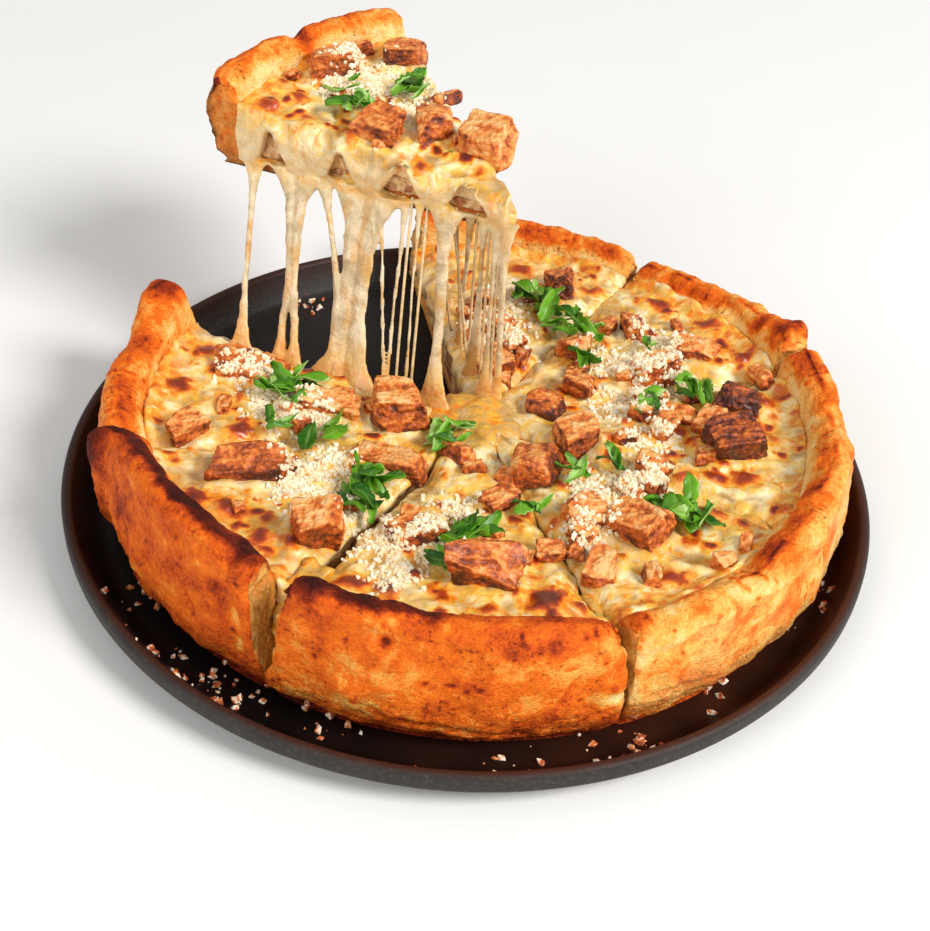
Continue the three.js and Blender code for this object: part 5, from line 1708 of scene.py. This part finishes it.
def put_down(cut, points, radius, degrees, height, turn, tilt):
    """A topping set on a slice, turned about the vertical and tilted."""
    rotation = turn_matrix((tilt, tilt / 2, turn))
    return cut.world(points @ rotation.T + (*polar(radius, degrees), height))


def stacked(marks):
    """The marks of several parts, end to end."""
    return {key: np.concatenate([m[key] for m in marks]) for key in marks[0]}


def build_chicken(context):
    finish = material("roast_chicken", chicken_finish)
    for number, cut in enumerate(STANDING + [ALL["lifted"]]):
        seed = 9 if cut.lifted else number + 1
        for k, (radius, degrees, length, width, height, turn) in enumerate(CHICKEN[cut.letter]):
            name = f"{cut.letter}{k + 1}"
            points, quads, marks = torn_lump(
                (length, width, height), seed * 10 + k, 40, 0.6 if cut.lifted else 0.9
            )
            marks["roast"] = clamp01(marks["roast"] + ROAST.get(name, 0))
            level = cut.surface(radius, degrees) + height / 2 - CHUNK_SINK
            tilt = ((seed + k) % 3) * 7 - 7
            points = put_down(cut, points, radius, degrees, level, turn, tilt)
            lump = mesh_object(f"roast_chicken_{name}", points, quads, marks)
            settle(lump, finish, [f"chicken_{name}"])
    parts, marks = [], []
    rng = np.random.default_rng(77)
    for letter, scraps in SCRAPS.items():
        cut = ALL[letter]
        for radius, degrees, size, *darker in scraps:
            shape = (size, size * rng.uniform(0.5, 0.8), size * rng.uniform(0.45, 0.75))
            seed = int(rng.integers(1000, 9000))
            points, quads, found = torn_lump(shape, seed, 17, 0.75)
            found["roast"] = clamp01(found["roast"] + sum(darker))
            level = cut.surface(radius, degrees) + shape[2] / 2 - size * 0.14
            turn, tilt = rng.uniform(0, 180), rng.uniform(-16, 16)
            points = put_down(cut, points, radius, degrees, level, turn, tilt)
            parts.append((points, quads))
            marks.append(found)
    points, quads = joined(parts)
    scraps = mesh_object("chicken_scraps", points, quads, stacked(marks))
    settle(scraps, finish)


# ---- Basil ----


def leaflet(length, width, rng):
    """A thin curled strip of leaf from the origin along X: points, quads and two marks."""
    long_cells, wide_cells = 18, 8
    cells, quads = box_skin(long_cells, wide_cells, 1)
    t, s = cells[:, 0] / long_cells, cells[:, 1] / wide_cells * 2 - 1
    torn = rng.uniform(0.2, 0.9)
    oval = np.sin(math.pi * t ** rng.uniform(0.6, 1.3)) ** 0.6
    half = np.maximum(width / 2 * np.maximum(torn * (1 - t), oval), 0.05 * width)
    teeth = np.abs((t * 4.5 + rng.uniform(0, 1)) % 1 - 0.5) - 0.25
    half = half * (1 + rng.uniform(0, 1) * teeth)
    fold, curl, wave = rng.uniform(0.1, 0.9), rng.uniform(-0.6, 1.3), rng.uniform(0, 6)
    y = s * half
    z = fold * np.abs(s) ** 1.3 * half + curl * length * 0.22 * (t - 0.1) ** 2
    z = z + 0.07 * length * np.sin(t * 5 + wave) + 0.12 * width * np.sin(t * 8 + s * 2 + wave)
    z = z + cells[:, 2] * 0.3
    bend = rng.uniform(-0.5, 0.5) * t**2 * length * 0.4
    points = np.stack([t * length, y + bend, z], 1)
    ribs = np.exp(-((((t * 5 + np.abs(s) * 1.2) % 1 - 0.5) / 0.1) ** 2))
    vein = clamp01(np.exp(-((s / 0.12) ** 2)) + 0.35 * ribs)
    # Tone differs from leaf to leaf, and one half of each folded leaf is lighter than the other, as
    # painted light and shade.
    tone = clamp01(rng.uniform(0.0, 1.15) + 0.3 * s * rng.choice([-1, 1]) - 0.2 * vein)
    return points, outwards(points, quads), {"vein": vein, "tone": tone}


def leaf_cluster(cut, place, count, size, rng):
    """Leaflets thrown together round a place on a slice, in millimetres."""
    parts, marks = [], []
    centre = cut.spot(*place)
    for k in range(count):
        length = size * rng.uniform(0.65, 1.0)
        points, quads, found = leaflet(length, length * rng.uniform(0.22, 0.5), rng)
        roll, pitch = rng.uniform(-38, 38), rng.uniform(-18, 12)
        rotation = np.array(
            Matrix.Rotation(rng.uniform(0, 2 * math.pi), 3, "Z")
            @ Matrix.Rotation(math.radians(pitch), 3, "Y")
            @ Matrix.Rotation(math.radians(roll), 3, "X")
        )
        points = (points - (length * rng.uniform(0.35, 0.6), 0, 0)) @ rotation.T
        if cut.lifted:
            points = points @ LIFTED_TURN.T
        spread = size * 0.4
        shift = np.array([rng.uniform(-1, 1) * spread, rng.uniform(-1, 1) * spread, k * 0.3])
        parts.append((points + centre + shift, quads))
        marks.append(found)
    points, quads = joined(parts)
    return points, quads, stacked(marks)


def build_basil(context):
    finish = material("fresh_basil", basil_finish)
    rng = np.random.default_rng(21)
    for name, (radius, degrees, size) in BASIL.items():
        cut = ALL[BASIL_ON.get(name, name)]
        points, quads, marks = leaf_cluster(cut, (radius, degrees, 3.2), 9, size * 0.72, rng)
        leaves = mesh_object(f"basil_leaves_{name}", points, quads, marks)
        settle(leaves, finish, [f"basil_{name}"])
    parts, marks = [], []
    for letter, radius, degrees, size in LEAF_BITS:
        count = 3 if size > 8 else 1
        place = (radius, degrees, 3.8)
        *body, found = leaf_cluster(ALL[letter], place, count, size, rng)
        parts.append(body)
        marks.append(found)
    points, quads = joined(parts)
    bits = mesh_object("basil_bits", points, quads, stacked(marks))
    settle(bits, finish)


# ---- Grated cheese and crumbs, strewn by geometry nodes ----


def strewing_tree():
    """Strews grains of several sizes over a surface, as thick as its mark says."""
    sizes = {"Smallest": 0.4, "Largest": 1.0, "Grain_radius": 0.001}
    tree = NodeTree("strewn_grains", Density=1.0, **sizes, Seed=1)
    given = tree.given
    seed = given["Seed"]
    density = tree.mark("strewn") * given["Density"]
    settings = {"distribute_method": "RANDOM"}
    values = {"Mesh": given["Geometry"], "Density": density, "Seed": seed}
    strewn = tree.node("GeometryNodeDistributePointsOnFaces", settings, values)
    values = {"Segments": 5, "Rings": 2, "Radius": given["Grain radius"]}
    values = {"Geometry": tree.node("GeometryNodeMeshUVSphere", {}, values)}
    grain = tree.node("GeometryNodeTransform", {}, values | {"Scale": (1.3, 0.95, 0.8)})
    kind, values = "FunctionNodeRandomValue", {0: (0.0, 0.0, 0.0), 1: (6.28, 6.28, 6.28)}
    turn = tree.node(kind, {"data_type": "FLOAT_VECTOR"}, values)
    values = {2: given["Smallest"], 3: given["Largest"], "Seed": seed}
    size = tree.node(kind, {"data_type": "FLOAT"}, values, 1)
    values = {"Points": strewn, "Instance": grain, "Rotation": turn, "Scale": size}
    return tree.end(tree.node("GeometryNodeInstanceOnPoints", {}, values))


# How far above or below a spot grains may lie, in millimetres.
BED_DEPTH = 25


def upward_bed(name, pieces, spots, seed):
    """The faces of finished pieces that grains can lie on, marked with how thick they lie."""
    parts = []
    for piece in pieces:
        mesh = piece.data
        points = read(mesh.vertices, "co", 3, float)
        corners = read(mesh.loops, "vertex_index", 1, np.int64)
        starts = read(mesh.polygons, "loop_start", 1, np.int64)
        totals = read(mesh.polygons, "loop_total", 1, np.int64)
        upward = (read(mesh.polygons, "normal", 3)[:, 2] > 0.25) & (totals >= 4)
        x, y, z = points[corners[starts]].T / MM
        near = np.zeros(len(starts), bool)
        for at_x, at_y, at_z, spread, _ in spots:
            level = np.abs(z - at_z) < BED_DEPTH
            near |= (np.hypot(x - at_x, y - at_y) < spread * 2.2) & level
        chosen = starts[upward & near]
        parts.append((points, corners[chosen[:, None] + np.arange(4)]))
    points, faces = joined(parts)
    used, index = np.unique(faces, return_inverse=True)
    points, faces = points[used] / MM, index.reshape(-1, 4)
    mark = np.zeros(len(points))
    for x, y, z, spread, thick in spots:
        far = np.hypot(points[:, 0] - x, points[:, 1] - y) / spread
        close = np.abs(points[:, 2] - z) < BED_DEPTH
        mark = np.maximum(mark, thick * np.exp(-(far**2)) * close)
    clumps = 0.35 + 1.1 * smooth_step(-0.3, 0.5, noise(points, 5, seed))
    return mesh_object(name, points, faces, {"strewn": clamp01(mark * clumps - 0.04)})


def drift_spots(cut):
    for radius, degrees, spread, thick in DRIFTS[cut.letter]:
        yield *cut.spot(radius, degrees), spread, thick


def build_grated(context):
    look = context.scene.pizza_toppings
    finish = material("grated_cheese", grated_finish)
    tree = strewing_tree()
    starts = ("melted_cheese", "roast_chicken", "chicken_scraps")
    pieces = [o for o in bpy.data.objects if o.name.startswith(starts)]
    pieces.sort(key=lambda o: o.name)
    spots = [spot for cut in ALL.values() for spot in drift_spots(cut)]
    grated = upward_bed("grated_cheese", pieces, spots, 5)
    density = look.grains_per_cm2 * 1e4
    radius = look.grain_size / 2
    tree.apply(
        grated,
        Density=density,
        Smallest=0.4,
        Largest=1.2,
        Grain_radius=radius,
        Seed=4,
        Finish=finish,
    )
    settle(grated, finish)
    spots = [(x, y, 4, spread, thick) for x, y, spread, thick in CRUMB_SPOTS]
    crumbs = upward_bed("crumbs", [bpy.data.objects["steel_pan"]], spots, 9)
    finish = material("crust_crumbs", crumb_finish)
    tree.apply(
        crumbs,
        Density=density * 0.085,
        Smallest=0.2,
        Largest=1.8,
        Grain_radius=radius,
        Seed=8,
        Finish=finish,
    )
    settle(crumbs, finish)


# ---- The stage ----

LIGHT_AIM = Vector((0, 0, 0.03))
CAMERA_AT = Vector((-1.314, -404.414, 354.945)) * MM
CAMERA_AXES = (
    (0.99751354, 0.04557954, 0.05375164), (-0.07047505, 0.64513904, 0.76080805),
    (0.0, -0.76270448, 0.64674715),
)


def add_light(context, name, at, size, power, colour):
    """A round soft light that shines on the middle of the pizza."""
    lamp = bpy.data.lights.new(name, "AREA")
    lamp.shape, lamp.size, lamp.energy, lamp.color = "DISK", size, power, colour
    made = bpy.data.objects.new(name, lamp)
    context.scene.collection.objects.link(made)
    made.location = at
    made.rotation_euler = (LIGHT_AIM - Vector(at)).to_track_quat("-Z", "Y").to_euler()


def build_stage(context):
    look = context.scene.pizza_stage
    bpy.ops.mesh.primitive_plane_add(size=look.floor_size)
    floor = context.object
    floor.name = "floor"
    floor.data.materials.append(material("pale_floor", floor_finish))
    camera = bpy.data.cameras.new("camera")
    camera.lens, camera.sensor_width, camera.sensor_fit = look.lens, 36, "HORIZONTAL"
    camera.clip_start = 0.01
    made = bpy.data.objects.new("camera", camera)
    context.scene.collection.objects.link(made)
    turn = Matrix(CAMERA_AXES).transposed().to_4x4()
    made.matrix_world = Matrix.Translation(CAMERA_AT) @ turn
    context.scene.camera = made
    add_light(context, "key", (1.75, -0.85, 1.75), 1.0, look.key_power, (1, 0.98, 0.95))
    add_light(context, "fill", (-1.5, -1.5, 1.3), 1.6, look.fill_power, (1, 0.99, 0.97))
    world = context.scene.world or bpy.data.worlds.new("studio")
    context.scene.world = world
    world.use_nodes = True
    sky = world.node_tree.nodes["Background"]
    sky.inputs["Color"].default_value = (1, 0.99, 0.98, 1)
    sky.inputs["Strength"].default_value = look.sky
    context.scene.view_settings.view_transform = "Standard"


# ---- Settings ----


def length(name, description, default):
    return bpy.props.FloatProperty(
        name=name, description=description, default=default, min=0.0, unit="LENGTH", precision=4
    )


def colour(name, description, default):
    return bpy.props.FloatVectorProperty(
        name=name, description=description, default=default, size=3, min=0, max=1, subtype="COLOR"
    )


def count(name, description, default):
    return bpy.props.IntProperty(name=name, description=description, default=default, min=3)


def number(name, description, default):
    return bpy.props.FloatProperty(name=name, description=description, default=default, min=0.0)


class PanSettings(bpy.types.PropertyGroup):
    rim_radius: length("Rim radius", "Radius of the pan's rim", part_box("pan")[1].x)
    height: length("Height", "Height of the pan's rim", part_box("pan")[1].z)
    bead: length("Bead", "Radius of the rolled edge", PAN["bead"] * MM)
    segments: count("Segments", "Straight pieces round the pan", 256)
    dents: length("Dents", "How deep the wall is dented", 0.0005)
    seasoned: colour("Seasoned steel", "The dark floor of the pan", srgb(6, 4, 4))
    # Grey of the walls: worn steel, laid on more at the back as painted light.
    worn: colour("Worn steel", "The grey of the walls", srgb(54, 50, 47))


class CrustSettings(bpy.types.PropertyGroup):
    pale: colour("Pale", "The least baked dough", srgb(255, 220, 146))
    golden: colour("Golden", "Well baked dough", srgb(243, 117, 24))
    burnt: colour("Burnt", "The darkest rims", srgb(58, 16, 10))
    crumb: colour("Crumb", "The inside of the dough at the cuts", srgb(238, 186, 96))


class CheeseSettings(bpy.types.PropertyGroup):
    cream: colour("Cream", "Plain melted cheese", srgb(255, 240, 186))
    warm: colour("Warm", "Melted cheese with a little oil", srgb(252, 205, 92))
    # Painted shade for the dips, the sides and the cuts of the cheese.
    hollow: colour("Hollow", "Cheese in the dips", srgb(180, 124, 36))
    # Stretched cheese, darkened in part as painted shade.
    hanging: colour("Hanging", "Stretched cheese", srgb(188, 162, 122))
    burnt: colour("Burnt", "The tops of the blisters", srgb(96, 26, 8))
    string_detail: length("String detail", "Grid that joins the strings", 0.00062)


class ToppingSettings(bpy.types.PropertyGroup):
    meat_light: colour("Light meat", "Torn fibres of chicken", srgb(250, 192, 124))
    meat_dark: colour("Dark meat", "Roasted skin", srgb(68, 22, 10))
    leaf_light: colour("Light leaf", "The upper side of basil", srgb(112, 176, 24))
    # The green of the folds, painted shade.
    leaf_dark: colour("Dark leaf", "Basil in its folds", srgb(30, 88, 6))
    grated: colour("Grated cheese", "The grains of hard cheese", srgb(255, 247, 224))
    grain_size: length("Grain size", "Width of a grain", 0.0021)
    grains_per_cm2: number("Grains", "Grains on a square centimetre of a full drift", 250)


class StageSettings(bpy.types.PropertyGroup):
    floor: colour("Floor", "Colour of the floor", (0.9, 0.9, 0.89))
    floor_size: length("Floor size", "Width of the floor", 4.0)
    lens: number("Lens", "Focal length in millimetres", 58.06)
    key_power: number("Key light", "Power of the main light in watts", 64)
    fill_power: number("Fill light", "Power of the front light in watts", 21)
    sky: number("Sky", "Strength of the light from all round", 0.42)


# ---- Operators ----


class PIZZA_OT_pan(bpy.types.Operator):
    """Makes the steel pan"""

    bl_idname = "pizza.pan"
    bl_label = "Pan"
    bl_options = {"REGISTER", "UNDO"}

    def execute(self, context):
        build_pan(context)
        return {"FINISHED"}


class PIZZA_OT_crusts(bpy.types.Operator):
    """Makes the baked crust of each slice"""

    bl_idname = "pizza.crusts"
    bl_label = "Crusts"
    bl_options = {"REGISTER", "UNDO"}

    def execute(self, context):
        build_crusts(context)
        return {"FINISHED"}


class PIZZA_OT_fillings(bpy.types.Operator):
    """Makes the filling that shows at the cuts"""

    bl_idname = "pizza.fillings"
    bl_label = "Fillings"
    bl_options = {"REGISTER", "UNDO"}

    def execute(self, context):
        build_fillings(context)
        return {"FINISHED"}


class PIZZA_OT_cheeses(bpy.types.Operator):
    """Makes the melted cheese on the standing slices"""

    bl_idname = "pizza.cheeses"
    bl_label = "Cheese"
    bl_options = {"REGISTER", "UNDO"}

    def execute(self, context):
        build_cheeses(context)
        return {"FINISHED"}


class PIZZA_OT_lifted_cheese(bpy.types.Operator):
    """Makes the lifted slice's cheese with its strings"""

    bl_idname = "pizza.lifted_cheese"
    bl_label = "Lifted cheese and strings"
    bl_options = {"REGISTER", "UNDO"}

    def execute(self, context):
        build_lifted_cheese(context)
        return {"FINISHED"}


class PIZZA_OT_chicken(bpy.types.Operator):
    """Makes the roast chicken and its scraps"""

    bl_idname = "pizza.chicken"
    bl_label = "Chicken"
    bl_options = {"REGISTER", "UNDO"}

    def execute(self, context):
        build_chicken(context)
        return {"FINISHED"}


class PIZZA_OT_basil(bpy.types.Operator):
    """Makes the basil leaves"""

    bl_idname = "pizza.basil"
    bl_label = "Basil"
    bl_options = {"REGISTER", "UNDO"}

    def execute(self, context):
        build_basil(context)
        return {"FINISHED"}


class PIZZA_OT_grated(bpy.types.Operator):
    """Strews grated cheese on the pizza and crumbs on the pan"""

    bl_idname = "pizza.grated"
    bl_label = "Grated cheese and crumbs"
    bl_options = {"REGISTER", "UNDO"}

    def execute(self, context):
        build_grated(context)
        return {"FINISHED"}


class PIZZA_OT_stage(bpy.types.Operator):
    """Makes the floor, the lights and the camera"""

    bl_idname = "pizza.stage"
    bl_label = "Stage"
    bl_options = {"REGISTER", "UNDO"}

    def execute(self, context):
        build_stage(context)
        return {"FINISHED"}


OPERATORS = (
    PIZZA_OT_pan, PIZZA_OT_crusts, PIZZA_OT_fillings, PIZZA_OT_cheeses, PIZZA_OT_lifted_cheese,
    PIZZA_OT_chicken, PIZZA_OT_basil, PIZZA_OT_grated, PIZZA_OT_stage,
)
SETTINGS = {
    "pizza_pan": PanSettings, "pizza_crust": CrustSettings, "pizza_cheese": CheeseSettings,
    "pizza_toppings": ToppingSettings, "pizza_stage": StageSettings,
}


class PIZZA_PT_panel(bpy.types.Panel):
    """Lists the settings and the pieces"""

    bl_label = "Deep dish pizza"
    bl_idname = "PIZZA_PT_panel"
    bl_space_type = "VIEW_3D"
    bl_region_type = "UI"
    bl_category = "Pizza"

    def draw(self, context):
        for key, group in SETTINGS.items():
            box = self.layout.box()
            for name in group.__annotations__:
                box.prop(getattr(context.scene, key), name)
        for operator in OPERATORS:
            self.layout.operator(operator.bl_idname)


def register():
    for group in (*SETTINGS.values(), *OPERATORS, PIZZA_PT_panel):
        bpy.utils.register_class(group)
    for key, group in SETTINGS.items():
        setattr(bpy.types.Scene, key, bpy.props.PointerProperty(type=group))


def unregister():
    for key in SETTINGS:
        delattr(bpy.types.Scene, key)
    for group in (PIZZA_PT_panel, *reversed(OPERATORS), *SETTINGS.values()):
        bpy.utils.unregister_class(group)


def main():
    register()
    for operator in OPERATORS:
        family, name = operator.bl_idname.split(".")
        getattr(getattr(bpy.ops, family), name)()


if __name__ == "__main__":
    main()
